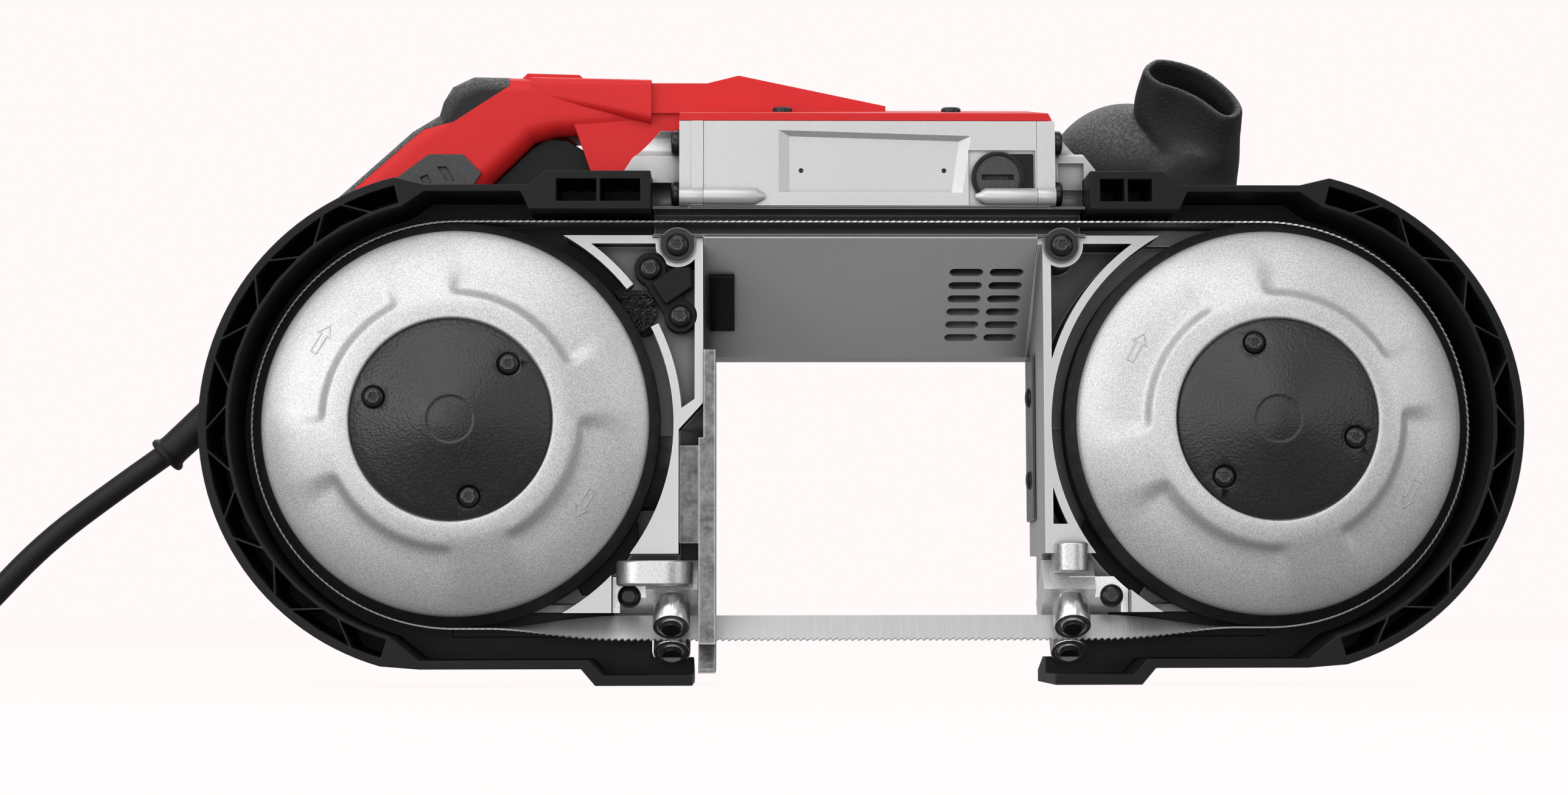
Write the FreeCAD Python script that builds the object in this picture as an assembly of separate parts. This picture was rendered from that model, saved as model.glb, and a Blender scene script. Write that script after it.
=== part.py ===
"""Corded portable band saw with two wheels, a deep throat and a twisted lower blade run.

Millimetres. X runs from the rear handle to the front handle, Y runs away from the wheel side and Z is up.
The origin is on the floor, midway between the wheels and at the middle of the tool's depth.
Depths are counted from the line of the tooth points: a negative depth is nearer the wheel side.
"""
import FreeCAD, Part
import math
import os

os.makedirs("parts", exist_ok=True)

# Blade loop and clearances
blade_length = 1139.8
blade_width = 12.7
blade_thick = 0.6
tooth_pitch = 2.54
tooth_depth = 1.2
blade_twist = 50.0
twist_run = 54.0
twist_lead = 12.0
run_gap = 0.3
seat_gap = 0.2
fit_gap = 0.05
overrun = 1.0
clear_depth = 400.0

# Wheels, counted from the wheel centre and the tooth line
wheel_height = 102.0
tyre_radius = 79.5
tyre_seat = 75.5
tyre_front = -4.6
tyre_shoulder = 1.2
tyre_rear = 13.5
tyre_rear_round = 0.8
rim_front = -6.5
rim_edge = 74.5
rim_wall = 4.0
disc_knee_radius = 60.0
disc_knee_depth = -15.5
disc_shoulder_radius = 46.0
disc_shoulder_depth = -22.0
hub_collar_radius = 39.0
hub_collar_depth = -22.8
hub_floor_depth = -20.0
web_back_depth = -15.5
web_thick = 4.5
hub_radius = 17.0
hub_rear = 24.0
hub_cap_radius = 38.7
hub_reach = 25.0
cap_edge_depth = -22.6
cap_bevel = 0.6
cap_dimple_radius = 9.5
cap_dimple_slope = 1.0
cap_dimple_depth = 0.7
hub_screw_circle = 30.7
hub_screw_radius = 4.3
hub_screw_height = 2.2
hub_screw_shank = 2.4
hub_screw_socket = 1.9
hub_screw_count = 3
drive_screw_angle = 43.9
idler_screw_angle = 106.5
dish_count = 4
dish_spread = 63.0
dish_outer_radius = 68.0
dish_inner_radius = 52.0
dish_lip_radius = 49.0
dish_depth = 2.2
drive_dish_angle = 58.0
idler_dish_angle = 61.5

# Shafts and gears of the drive
spindle_radius = 8.0
spindle_rear = 73.0
spindle_bearing_radius = 15.0
spindle_bearing_length = 8.0
spindle_front_bearing = 29.0
spindle_rear_bearing = 64.0
motor_depth = 42.0
motor_height = 199.0
counter_depth = 60.0
counter_height = 150.0
pinion_depth = 58.0
first_pinion_teeth = 10
first_gear_teeth = 38
second_pinion_teeth = 10
second_gear_teeth = 40
crown_pinion_teeth = 10
crown_teeth = 44
crown_mean_radius = 30.0
crown_face = 6.0
crown_body = 7.0
gear_face = 7.5
gear_shaft_radius = 4.0
gear_bearing_radius = 8.0
gear_bearing_length = 4.0
gear_column_left = -92.0
gear_column_right = -62.7
gear_wall_left = 5.0
gear_wall_right = 5.3
gear_side_gap = 0.9
gear_case_wall = 3.0
gear_tip_gap = 1.1
tooth_share = 0.3
tooth_tip_share = 0.13
crown_tooth_share = 0.2
addendum_share = 0.8
dedendum_share = 1.15

# Motor
field_radius = 27.5
field_bore = 17.6
field_left = -38.0
field_right = 12.0
rotor_gap = 0.8
rotor_slots = 12
rotor_slot_width = 2.4
rotor_slot_depth = 5.0
armature_shaft = 4.5
fan_radius = 26.0
fan_left = -54.0
fan_right = -44.0
fan_hub = 9.0
fan_blades = 11
fan_blade_thick = 1.6
fan_plate = 2.0
commutator_left = 46.0
commutator_right = 60.0
commutator_radius = 12.0
front_bearing_left = -62.0
front_bearing_right = -56.0
front_bearing_radius = 11.0
end_bearing_left = 62.0
end_bearing_right = 67.0
end_bearing_radius = 8.0
brush_place = 53.6
brush_width = 8.0
brush_height = 6.0
brush_length = 16.0
brush_box_wall = 1.2
brush_cap_radius = 10.3
brush_cap_neck = 7.0
brush_cap_length = 6.0
brush_cap_proud = 0.8
brush_cap_slot = 2.2
brush_cap_slot_depth = 1.4
brush_cap_slot_share = 0.62

# Motor housing section: depth and height of its corners
housing_left = -62.5
housing_right = 69.0
housing_front = -4.0
housing_rear = 84.0
housing_front_top = 221.5
housing_roof_front = 34.0
housing_roof_rear = 62.0
housing_roof = 229.8
housing_rear_top = 214.0
housing_rear_low = 148.0
housing_base = 133.0
housing_base_front = 48.0
housing_base_rear = 70.0
channel_low = 175.3
channel_high = 187.7
channel_notch_depth = 15.0
slant_top = 174.8
slant_top_depth = -4.6
housing_wall = 3.0
vent_rows = 6
vent_columns = 2
vent_length = 13.6
vent_width = 4.2
vent_pitch = 7.4
vent_column_pitch = 16.1
vent_first_x = 42.2
vent_first_share = 0.28
panel_left = -32.9
panel_right = 43.2
panel_low = 193.0
panel_high = 217.9
panel_fall = 2.3
panel_lean = 3.5
panel_depth = 1.8
panel_side_bevel = 4.3
panel_top_bevel = 2.2
panel_low_bevel = 0.4
plate_pin_first = -24.0
plate_pin_second = 32.5
plate_pin_height = 202.0
plate_pin_radius = 1.0
plate_pin_depth = 3.0
boss_radius = 3.4
boss_height = 191.4
boss_reach = 24.3
boss_taper = 4.0
boss_tip_share = 0.35
band_width = 4.4
band_proud = 0.5
brush_recess = 15.0
brush_recess_depth = 1.0

# Frame castings
frame_front = -2.0
frame_back = 30.0
frame_top = 176.2
frame_low = 28.0
rib_radius = 85.0
rib_wall = 3.2
rear_arm_face = -62.7
rear_arm_knee = 110.0
rear_arm_step_x = -72.2
rear_arm_step = 99.6
rear_plate_left = -140.0
rear_pocket_floor = 9.4
rear_pocket_low = 106.0
brush_gap_low = 26.5
brush_gap_high = 38.5
front_arm_face = 71.3
front_arm_rear = 53.5
front_arm_back = 92.0
front_plate_right = 140.0
front_pocket_floor = 24.0
front_pocket_low = 118.0
small_pocket_low = 62.4
small_pocket_high = 84.0
low_pocket_left = 89.0
low_pocket_low = 36.0
low_pocket_high = 54.0
flange_thick = 9.3
front_flange_thick = 7.2
bracket_top = 51.0
bracket_floor = 14.0
shoulder_left = -96.0
shoulder_knee = 208.0
shoulder_top = 219.0
shoulder_flat = -80.0
shoulder_front = 5.0
shoulder_rear = 62.0
crown_case_radius = 41.0
crown_case_wall = 3.0
crown_case_front = 27.6
crown_case_rear = 76.0
tunnel_radius = 14.0
handle_boss_left = -204.0
handle_boss_low = 106.0
handle_boss_high = 128.0
handle_boss_front = 30.0
handle_boss_rear = 54.0

# Tension mechanism behind the idler wheel
tension_travel = 4.5
carriage_left = 118.0
carriage_right = 178.0
carriage_half_height = 18.0
carriage_front = 37.0
carriage_rear = 50.0
carriage_boss = 15.0
carriage_boss_front = 24.6
axle_radius = 7.0
axle_front = -19.0
idler_bearing_radius = 13.0
idler_bearing_length = 10.0
idler_front_bearing = -15.0
idler_rear_bearing = 12.0
tension_case_left = 92.0
tension_case_right = 186.0
tension_case_half_height = 24.0
tension_case_front = 28.0
tension_case_rear = 54.0
tension_case_wall = 3.0
lever_x = 130.0
lever_shaft = 6.0
lever_crank_radius = 2.5
lever_thick = 8.0
lever_length = 58.0
lever_root = 11.0
lever_tip = 7.5
yoke_slack = 0.9
spring_radius = 5.2
spring_wire = 1.1
spring_turns = 5
handle_seat_left = 112.0
handle_seat_right = 152.0
handle_seat_top = 197.0
handle_seat_rear = 72.0

# Rear handle and roof cover
handle_far = -251.0
handle_near = -84.0
handle_low = 116.0
handle_top = 247.0
grip_half_width = 17.5
grip_round = 8.0
roof_thick = 3.2
roof_left = -72.0
roof_right = 75.5
roof_end_run = 6.5
ridge_left = -90.0
ridge_peak_x = -48.6
ridge_dip_x = -61.4
ridge_end_x = 11.0
ridge_peak = 245.5
ridge_dip = 242.3
ridge_half_width = 18.0
cheek_low = 203.0
cheek_half_width = 16.5
beam_half_width = 20.5
beam_left_height = 9.0
beam_right_height = 18.0
beam_round = 3.5
pad_left = -139.0
pad_right = -109.5
pad_height = 2.1
pad_half_width = 11.0
split_gap = 0.1
panel_thick = 1.6
panel_proud = 0.8
trigger_width = 20.0
trigger_travel = 6.0
trigger_lean = 50.0
trigger_gap = 0.5
trigger_left = -149.0
trigger_right = -108.5
trigger_low = 191.5
trigger_high = 221.0
switch_length = 34.0
switch_height = 14.0
switch_width = 22.0
switch_x = -118.0
switch_z = 233.0

# Front handle
horn_left = 85.0
horn_right = 158.0
horn_low = 197.3
horn_top = 255.0
horn_front = 12.0
horn_rear = 76.0
horn_wall = 3.4
horn_base_x = 119.0
horn_base_depth = 50.0
horn_base_z = 203.5
horn_base_radius = 33.5
bracket_top_x = 80.0
bracket_top_z = 217.0
bracket_knee_x = 85.4
bracket_knee_z = 210.2
bracket_shelf_x = 88.6
bracket_end_x = 93.6
bracket_end_z = 203.8
bracket_front = 6.0
bracket_rear = 44.0
bracket_pocket_depth = 2.0
bracket_pocket_left = 78.6
bracket_pocket_right = 89.0
bracket_pocket_low = 192.5
bracket_pocket_high = 206.5

# Wheel guards
guard_radius = 98.2
guard_ring = 12.0
guard_outer_wall = 3.3
guard_inner_wall = 1.7
guard_rib = 1.6
guard_front = -14.0
guard_back = 21.5
guard_back_wall = 2.5
guard_back_bore = 60.0
guard_pocket_depth = 30.0
guard_pockets = 14
guard_top_angle = 104.0
guard_low_angle = 254.0
guard_top = 194.5
guard_top_wall = 2.8
guard_low = 6.4
guard_low_wall = 3.4
guard_block_top = 200.0
guard_block_low = 184.8
guard_ramp = 6.6
guard_block_pockets = 2
guard_foot_wall = 4.0
guard_foot_ramp = 5.5
guard_shoe_rear = 47.0
guard_shoe_edge = 5.0
guard_shoe_root = 14.0
rear_block_end = -83.0
rear_block_start = -123.8
rear_foot_end = -66.5
rear_foot_start = -103.8
front_block_end = 88.8
front_block_start = 117.2
front_foot_end = 73.3
front_foot_start = 106.8

# Blade channel
channel_left = -82.4
channel_right = 88.2
channel_wall = 1.2
channel_rear = 14.4
tab_width = 14.0
tab_drop = 3.1
tab_thick = 1.2
rear_tab_x = -72.7
front_tab_x = 78.7
lip_length = 14.0
lip_setback = 1.5

# Blade guides, in axes turned with the blade
roller_radius = 7.25
roller_half_length = 6.0
roller_bore = 2.6
roller_pin = 2.5
roller_groove = 0.5
pin_head = 3.6
pin_head_length = 1.4
guide_near = 9.0
guide_far = 24.0
guide_half = 13.0
guide_half_length = 10.2
rear_guide_x = -74.9
front_guide_x = 81.4
ear_length = 13.0
ear_front = 6.0
ear_low = 28.0
ear_high = 42.0
ear_screw_z = 34.4

# Work stop
stop_face = -57.8
stop_thick = 6.6
stop_front = -3.0
stop_rear = 46.0
stop_low = 4.5
stop_gap = 2.0
stop_corner = 7.0
stop_slot = 3.0
stop_pad_low = 55.0
stop_pad_high = 97.0
stop_pad_front = 4.0
stop_pad_rear = 13.4

# Chip brush, work light and arm plate
brush_arm_radius = 6.4
brush_first_x = -83.5
brush_first_z = 163.4
brush_second_x = -71.6
brush_second_z = 144.5
brush_body = 5.0
brush_body_front = 1.2
bristle_root = 3.2
bristle_spread = 8.5
bristle_count = 7
bristle_thick = 1.1
light_length = 30.5
light_width = 10.2
light_x = -55.4
light_share = 0.52
light_proud = 0.6
light_depth = 2.0
arm_plate_thick = 1.3
arm_plate_front = 28.0
arm_plate_rear = 51.0
arm_plate_drop = 1.0
arm_plate_height = 67.0

# Fasteners
screw_head = 4.6
screw_head_height = 2.6
screw_shank = 2.4
screw_length = 8.0
screw_socket = 2.2
screw_socket_depth = 1.4
bolt_head = 5.0
bolt_head_height = 3.4
bolt_round = 1.3
bolt_shank = 2.6
bolt_length = 14.0
bolt_high = 214.0
bolt_low = 193.4
bolt_front_depth = 3.5
cover_screw_radius = 4.0
cover_screw_height = 2.0
cover_screw_round = 1.5
cover_screw_shank = 1.8
cover_screw_length = 8.0
cover_screw_depth = 17.0
cover_screw_first = -31.0
cover_screw_second = 37.0

# Cord, its strain relief and plug
cord_diameter = 9.3
cord_length = 2440.0
relief_radius = 7.3
relief_tip_radius = 6.4
relief_length = 46.0
relief_flange = 9.6
relief_flange_length = 4.0
relief_grooves = 5
relief_groove_width = 2.2
relief_groove_depth = 1.0
relief_base_x = -243.5
relief_base_z = 125.2
relief_slope = 41.0
coil_pitch = 9.95
coil_quarters = 26
coil_start_angle = 45.0
plug_length = 38.0
tail_spread = 21.0
plug_neck = 6.6
plug_blade_length = 16.0
plug_blade_width = 6.3
plug_blade_thick = 1.5
plug_blade_gap = 12.7
plug_pin_radius = 2.4
plug_pin_drop = 9.0

# Values worked out from the sizes above
blade_radius = tyre_radius + run_gap + blade_thick / 2
wheel_gap = (blade_length - 2 * math.pi * blade_radius) / 2
rear_wheel_x = -wheel_gap / 2
front_wheel_x = wheel_gap / 2
first_reach = math.hypot(counter_depth - motor_depth, motor_height - counter_height)
second_reach = math.hypot(pinion_depth - counter_depth, counter_height - wheel_height)
first_module = 2 * first_reach / (first_pinion_teeth + first_gear_teeth)
second_module = 2 * second_reach / (second_pinion_teeth + second_gear_teeth)
crown_module = 2 * crown_mean_radius / crown_teeth
first_tip = first_module * (first_gear_teeth / 2 + addendum_share)
second_tip = second_module * (second_gear_teeth / 2 + addendum_share)
first_case = first_tip + gear_tip_gap + gear_case_wall
second_case = second_tip + gear_tip_gap + gear_case_wall
rear_reach = counter_depth + first_case
tooth_y = hub_reach - (hub_reach + rear_reach) / 2
gear_room_left = gear_column_left + gear_wall_left
gear_room_right = gear_column_right - gear_wall_right
strand_low = wheel_height - blade_radius
blade_mid = blade_width / 2
slant_run = housing_base_front - slant_top_depth
guard_clear = guard_back + seat_gap
slant_drop = slant_top - housing_base
slant_length = math.hypot(slant_run, slant_drop)
slant_angle = math.degrees(math.atan2(slant_drop, slant_run))
roof_slope = (housing_roof - housing_front_top) / (housing_roof_front - housing_front)
arm_plate_high = housing_base - arm_plate_drop
stop_high = housing_base - stop_gap
arm_plate_low = arm_plate_high - arm_plate_height


def point(x, depth, z):
    return FreeCAD.Vector(x, tooth_y + depth, z)


def direction(x, y, z):
    return FreeCAD.Vector(x, y, z)


X_AXIS = direction(1, 0, 0)
Y_AXIS = direction(0, 1, 0)
Z_AXIS = direction(0, 0, 1)


def block(x0, x1, d0, d1, z0, z1):
    return Part.makeBox(x1 - x0, d1 - d0, z1 - z0, point(x0, d0, z0))


def rod_y(x, z, radius, d0, d1):
    return Part.makeCylinder(radius, d1 - d0, point(x, d0, z), Y_AXIS)


def rod_x(depth, z, radius, x0, x1):
    return Part.makeCylinder(radius, x1 - x0, point(x0, depth, z), X_AXIS)


def face_of(points):
    return Part.Face(Part.makePolygon(points + points[:1]))


def plate(outline, d0, d1):
    """A plate from an outline of (x, z) corners, between two depths."""
    flat = face_of([point(x, d0, z) for x, z in outline])
    return flat.extrude(direction(0, d1 - d0, 0))


def bar(outline, x0, x1):
    """A bar along X from a section of (depth, z) corners."""
    flat = face_of([point(x0, depth, z) for depth, z in outline])
    return flat.extrude(direction(x1 - x0, 0, 0))


def turned(profile, x, z):
    """A piece turned about the wheel's own axis from (radius, depth) corners."""
    flat = face_of([point(x + radius, depth, z) for radius, depth in profile])
    return flat.revolve(point(x, 0, z), Y_AXIS, 360)


def join(shapes):
    first = shapes[0]
    rest = shapes[1:]
    return first.fuse(rest).removeSplitter() if rest else first


def cut_all(shape, tools):
    return shape.cut(tools) if tools else shape


def polar(x, z, radius, angle):
    turn = math.radians(angle)
    return x + radius * math.cos(turn), z + radius * math.sin(turn)


def bore_ring(outer, inner):
    return outer.cut(inner)


def save(shape, name):
    shape.exportStep(os.path.join("parts", name + ".step"))
    print(name, len(shape.Solids), "solids", round(shape.Volume), "mm3", shape.isValid())


# Wheels, tyres and hub caps

def hub_screw_places(x, first_angle):
    step = 360 / hub_screw_count
    return [polar(x, wheel_height, hub_screw_circle,
                  first_angle + step * i) for i in range(hub_screw_count)]


def wheel(x, bore, first_angle, dish_angle):
    """A dished disc with a rim for the tyre and a hub on its back."""
    profile = [
        (bore, hub_floor_depth),
        (hub_collar_radius, hub_floor_depth),
        (hub_collar_radius, hub_collar_depth),
        (disc_shoulder_radius, disc_shoulder_depth),
        (disc_knee_radius, disc_knee_depth),
        (rim_edge, rim_front),
        (tyre_seat, tyre_front),
        (tyre_seat, tyre_rear),
        (tyre_seat - rim_wall, tyre_rear),
        (tyre_seat - rim_wall, rim_front + web_thick),
        (disc_knee_radius, disc_knee_depth + web_thick),
        (disc_shoulder_radius, disc_shoulder_depth + web_thick),
        (hub_radius + web_thick, web_back_depth),
        (hub_radius, web_back_depth + web_thick),
        (hub_radius, hub_rear),
        (bore, hub_rear),
    ]
    body = turned(profile, x, wheel_height)
    dishes = [dish(x, dish_angle + 360 / dish_count * i) for i in range(dish_count)]
    holes = [
        rod_y(sx, sz, hub_screw_shank + fit_gap, hub_floor_depth - overrun, web_back_depth + overrun)
        for sx, sz in hub_screw_places(x, first_angle)
    ]
    return cut_all(body, dishes + holes)


def face_depth(radius):
    """Depth of the disc's front face at a radius between its shoulder and its rim."""
    if radius < disc_knee_radius:
        share = (radius - disc_shoulder_radius) / (disc_knee_radius - disc_shoulder_radius)
        return disc_shoulder_depth + (disc_knee_depth - disc_shoulder_depth) * share
    share = (radius - disc_knee_radius) / (rim_edge - disc_knee_radius)
    return disc_knee_depth + (rim_front - disc_knee_depth) * share


def dish(x, angle):
    """One of the shallow sectors pressed into the disc's front face, deepest beside the hub collar."""
    profile = [
        (dish_outer_radius, face_depth(dish_outer_radius)),
        (dish_inner_radius, face_depth(dish_inner_radius) + dish_depth),
        (dish_lip_radius, face_depth(dish_lip_radius)),
        (dish_lip_radius, -hub_reach - overrun),
        (dish_outer_radius, -hub_reach - overrun),
    ]
    flat = face_of([point(x + radius, depth, wheel_height) for radius, depth in profile])
    flat.rotate(point(x, 0, wheel_height), Y_AXIS, -angle - dish_spread / 2)
    return flat.revolve(point(x, 0, wheel_height), Y_AXIS, dish_spread)


def tyre(x):
    profile = [
        (tyre_seat, tyre_front),
        (tyre_radius, tyre_shoulder),
        (tyre_radius, tyre_rear - tyre_rear_round),
        (tyre_radius - tyre_rear_round, tyre_rear),
        (tyre_seat, tyre_rear),
    ]
    return turned(profile, x, wheel_height)


def hub_cap(x, first_angle):
    """A shallow moulded cone with a dimple in the middle and three screw pockets."""
    dimple = cap_dimple_radius - cap_dimple_slope
    profile = [
        (0, hub_floor_depth),
        (0, -hub_reach + cap_dimple_depth),
        (dimple, -hub_reach + cap_dimple_depth),
        (cap_dimple_radius, -hub_reach),
        (cap_dimple_radius + cap_dimple_slope, -hub_reach),
        (hub_cap_radius - cap_bevel, cap_edge_depth - cap_bevel),
        (hub_cap_radius, cap_edge_depth),
        (hub_cap_radius, hub_floor_depth),
    ]
    body = turned(profile, x, wheel_height)
    cuts = []
    for sx, sz in hub_screw_places(x, first_angle):
        cuts.append(rod_y(sx, sz, hub_screw_radius + seat_gap, -clear_depth,
                          hub_floor_depth - hub_screw_height))
        cuts.append(rod_y(sx, sz, hub_screw_shank + fit_gap, -clear_depth, hub_floor_depth + overrun))
    return cut_all(body, cuts)


def hub_screws(x, first_angle):
    seat = hub_floor_depth - hub_screw_height
    solids = []
    for sx, sz in hub_screw_places(x, first_angle):
        head = rod_y(sx, sz, hub_screw_radius, seat - hub_screw_height, seat)
        shank = rod_y(sx, sz, hub_screw_shank, seat, web_back_depth)
        socket = star(sx, sz, hub_screw_socket, seat - hub_screw_height, seat - hub_screw_height / 2)
        solids.append(head.fuse(shank).removeSplitter().cut(socket))
    return Part.makeCompound(solids)


def star(x, z, radius, d0, d1):
    """The six-lobed socket of a screw head."""
    lobes = 6
    inner_share = 0.74
    outline = []
    for i in range(2 * lobes):
        reach = radius if i % 2 == 0 else radius * inner_share
        outline.append(polar(x, z, reach, 180 / lobes * i))
    return plate(outline, d0 - overrun, d1)


# Gears

def toothed(depth, z, teeth, module, x0, x1, tooth_angle):
    """A spur gear along X with a tooth centred on the given angle."""
    root = module * (teeth / 2 - dedendum_share)
    tip = module * (teeth / 2 + addendum_share)
    pitch = 360 / teeth
    outline = []
    for i in range(teeth):
        centre = tooth_angle + pitch * i
        for reach, share in ((root, -tooth_share), (tip, -tooth_tip_share), (tip, tooth_tip_share),
                             (root, tooth_share)):
            outline.append(polar(depth, z, reach, centre + pitch * share))
    return bar(outline, x0, x1)


def line_angle(from_depth, from_z, to_depth, to_z):
    return math.degrees(math.atan2(to_z - from_z, to_depth - from_depth))


first_line = line_angle(motor_depth, motor_height, counter_depth, counter_height)
second_line = line_angle(counter_depth, counter_height, pinion_depth, wheel_height)
shaft_left = gear_room_left - gear_bearing_length + fit_gap
shaft_right = gear_room_right + gear_bearing_length - fit_gap
first_gear_left = gear_room_left + gear_side_gap
second_gear_left = gear_room_right - gear_side_gap - gear_face
crown_pinion_right = rear_wheel_x + crown_mean_radius + crown_face / 2 - gear_side_gap
crown_pinion_left = crown_pinion_right - crown_face
crown_pitch_depth = pinion_depth - crown_module * crown_pinion_teeth / 2
crown_tooth_rear = crown_pitch_depth + crown_module * addendum_share


def counter_shaft():
    shaft = rod_x(counter_depth, counter_height, gear_shaft_radius, shaft_left, shaft_right)
    gear = toothed(counter_depth, counter_height, first_gear_teeth, first_module, first_gear_left,
                   first_gear_left + gear_face, first_line + 180 + 180 / first_gear_teeth)
    pinion = toothed(counter_depth, counter_height, second_pinion_teeth, second_module, second_gear_left,
                     second_gear_left + gear_face, second_line)
    return join([shaft, gear, pinion])


def pinion_shaft():
    shaft = rod_x(pinion_depth, wheel_height, gear_shaft_radius, crown_pinion_left, shaft_right)
    gear = toothed(pinion_depth, wheel_height, second_gear_teeth, second_module, second_gear_left,
                   second_gear_left + gear_face, second_line + 180 + 180 / second_gear_teeth)
    pinion = toothed(pinion_depth, wheel_height, crown_pinion_teeth, crown_module, crown_pinion_left,
                     crown_pinion_right, 180 + 180 / crown_pinion_teeth)
    return join([shaft, gear, pinion])


def crown_gear():
    """A disc on the spindle with radial teeth on its rear face."""
    outer = crown_mean_radius + crown_face / 2
    inner = crown_mean_radius - crown_face / 2
    root = crown_pitch_depth - crown_module * dedendum_share
    body = rod_y(rear_wheel_x, wheel_height, outer, root - crown_body, root)
    width = 2 * math.pi * crown_mean_radius / crown_teeth * crown_tooth_share
    teeth = []
    for i in range(crown_teeth):
        tooth = block(rear_wheel_x + inner, rear_wheel_x + outer, root - overrun, crown_tooth_rear,
                      wheel_height - width / 2, wheel_height + width / 2)
        tooth.rotate(point(rear_wheel_x, 0, wheel_height), Y_AXIS, 360 / crown_teeth * i)
        teeth.append(tooth)
    bore = rod_y(rear_wheel_x, wheel_height, spindle_radius, -clear_depth, clear_depth)
    return body.fuse(teeth).removeSplitter().cut(bore)


def spindle():
    return rod_y(rear_wheel_x, wheel_height, spindle_radius, hub_floor_depth, spindle_rear)


def bearing_y(x, z, radius, bore, d0, length):
    return bore_ring(rod_y(x, z, radius, d0, d0 + length),
                     rod_y(x, z, bore, d0 - overrun, d0 + length + overrun))


def bearing_x(depth, z, radius, bore, x0, length):
    return bore_ring(rod_x(depth, z, radius, x0, x0 + length),
                     rod_x(depth, z, bore, x0 - overrun, x0 + length + overrun))


def gear_bearings():
    solids = [
        bearing_y(rear_wheel_x, wheel_height, spindle_bearing_radius, spindle_radius + fit_gap, place,
                  spindle_bearing_length)
        for place in (spindle_front_bearing, spindle_rear_bearing)
    ]
    for depth, z in ((counter_depth, counter_height), (pinion_depth, wheel_height)):
        for place in (gear_room_left - gear_bearing_length, gear_room_right):
            solids.append(bearing_x(depth, z, gear_bearing_radius, gear_shaft_radius + fit_gap, place,
                                    gear_bearing_length))
    return Part.makeCompound(solids)


# Motor

def armature():
    """Shaft, slotted steel stack and the first pinion, cut on the shaft's end."""
    stack_radius = field_bore - rotor_gap
    shaft = rod_x(motor_depth, motor_height, armature_shaft, gear_room_left + gear_side_gap,
                  end_bearing_right)
    stack = rod_x(motor_depth, motor_height, stack_radius, field_left, field_right)
    slots = []
    for i in range(rotor_slots):
        slot = block(field_left - overrun, field_right + overrun,
                     motor_depth + stack_radius - rotor_slot_depth,
                     motor_depth + stack_radius + overrun, motor_height - rotor_slot_width / 2,
                     motor_height + rotor_slot_width / 2)
        slot.rotate(point(0, motor_depth, motor_height), X_AXIS, 360 / rotor_slots * i)
        slots.append(slot)
    pinion = toothed(motor_depth, motor_height, first_pinion_teeth, first_module, first_gear_left,
                     first_gear_left + gear_face, first_line)
    return join([shaft, stack.cut(slots), pinion])


def commutator():
    body = rod_x(motor_depth, motor_height, commutator_radius, commutator_left, commutator_right)
    return body.cut(rod_x(motor_depth, motor_height, armature_shaft, -clear_depth, clear_depth))


def fan():
    hub = rod_x(motor_depth, motor_height, fan_hub, fan_left, fan_right)
    disc = rod_x(motor_depth, motor_height, fan_radius, fan_right - fan_plate, fan_right)
    blades = []
    for i in range(fan_blades):
        blade = block(fan_left, fan_right - fan_plate / 2, motor_depth + armature_shaft,
                      motor_depth + fan_radius - fan_plate,
                      motor_height - fan_blade_thick / 2, motor_height + fan_blade_thick / 2)
        blade.rotate(point(0, motor_depth, motor_height), X_AXIS, 360 / fan_blades * i)
        blades.append(blade)
    bore = rod_x(motor_depth, motor_height, armature_shaft, -clear_depth, clear_depth)
    return hub.fuse([disc] + blades).removeSplitter().cut(bore)


def stator():
    outer = rod_x(motor_depth, motor_height, field_radius, field_left, field_right)
    return outer.cut(rod_x(motor_depth, motor_height, field_bore, -clear_depth, clear_depth))


def motor_bearings():
    return Part.makeCompound([
        bearing_x(motor_depth, motor_height, front_bearing_radius, armature_shaft + fit_gap,
                  front_bearing_left,
                  front_bearing_right - front_bearing_left),
        bearing_x(motor_depth, motor_height, end_bearing_radius, armature_shaft + fit_gap, end_bearing_left,
                  end_bearing_right - end_bearing_left),
    ])


brush_front_end = motor_depth - commutator_radius - run_gap
brush_rear_end = motor_depth + commutator_radius + run_gap
cap_front_inner = housing_front + brush_cap_length
cap_rear_inner = housing_rear - brush_cap_length


def brush_bar(half_width, half_height, d0, d1):
    return block(brush_place - half_width, brush_place + half_width, d0, d1, motor_height - half_height,
                 motor_height + half_height)


def carbon_brushes():
    half_width = brush_width / 2
    half_height = brush_height / 2
    return Part.makeCompound([
        brush_bar(half_width, half_height, brush_front_end - brush_length, brush_front_end),
        brush_bar(half_width, half_height, brush_rear_end, brush_rear_end + brush_length),
    ])


def brush_holders():
    """Two square tubes that lead the brushes from the screw caps to the commutator."""
    half_width = brush_width / 2 + fit_gap
    half_height = brush_height / 2 + fit_gap
    tubes = []
    for d0, d1 in ((cap_front_inner, brush_front_end - run_gap),
                   (brush_rear_end + run_gap, cap_rear_inner)):
        tube = brush_bar(half_width + brush_box_wall, half_height + brush_box_wall, d0, d1)
        tubes.append(tube.cut(brush_bar(half_width, half_height, d0 - overrun, d1 + overrun)))
    return Part.makeCompound(tubes)


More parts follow.
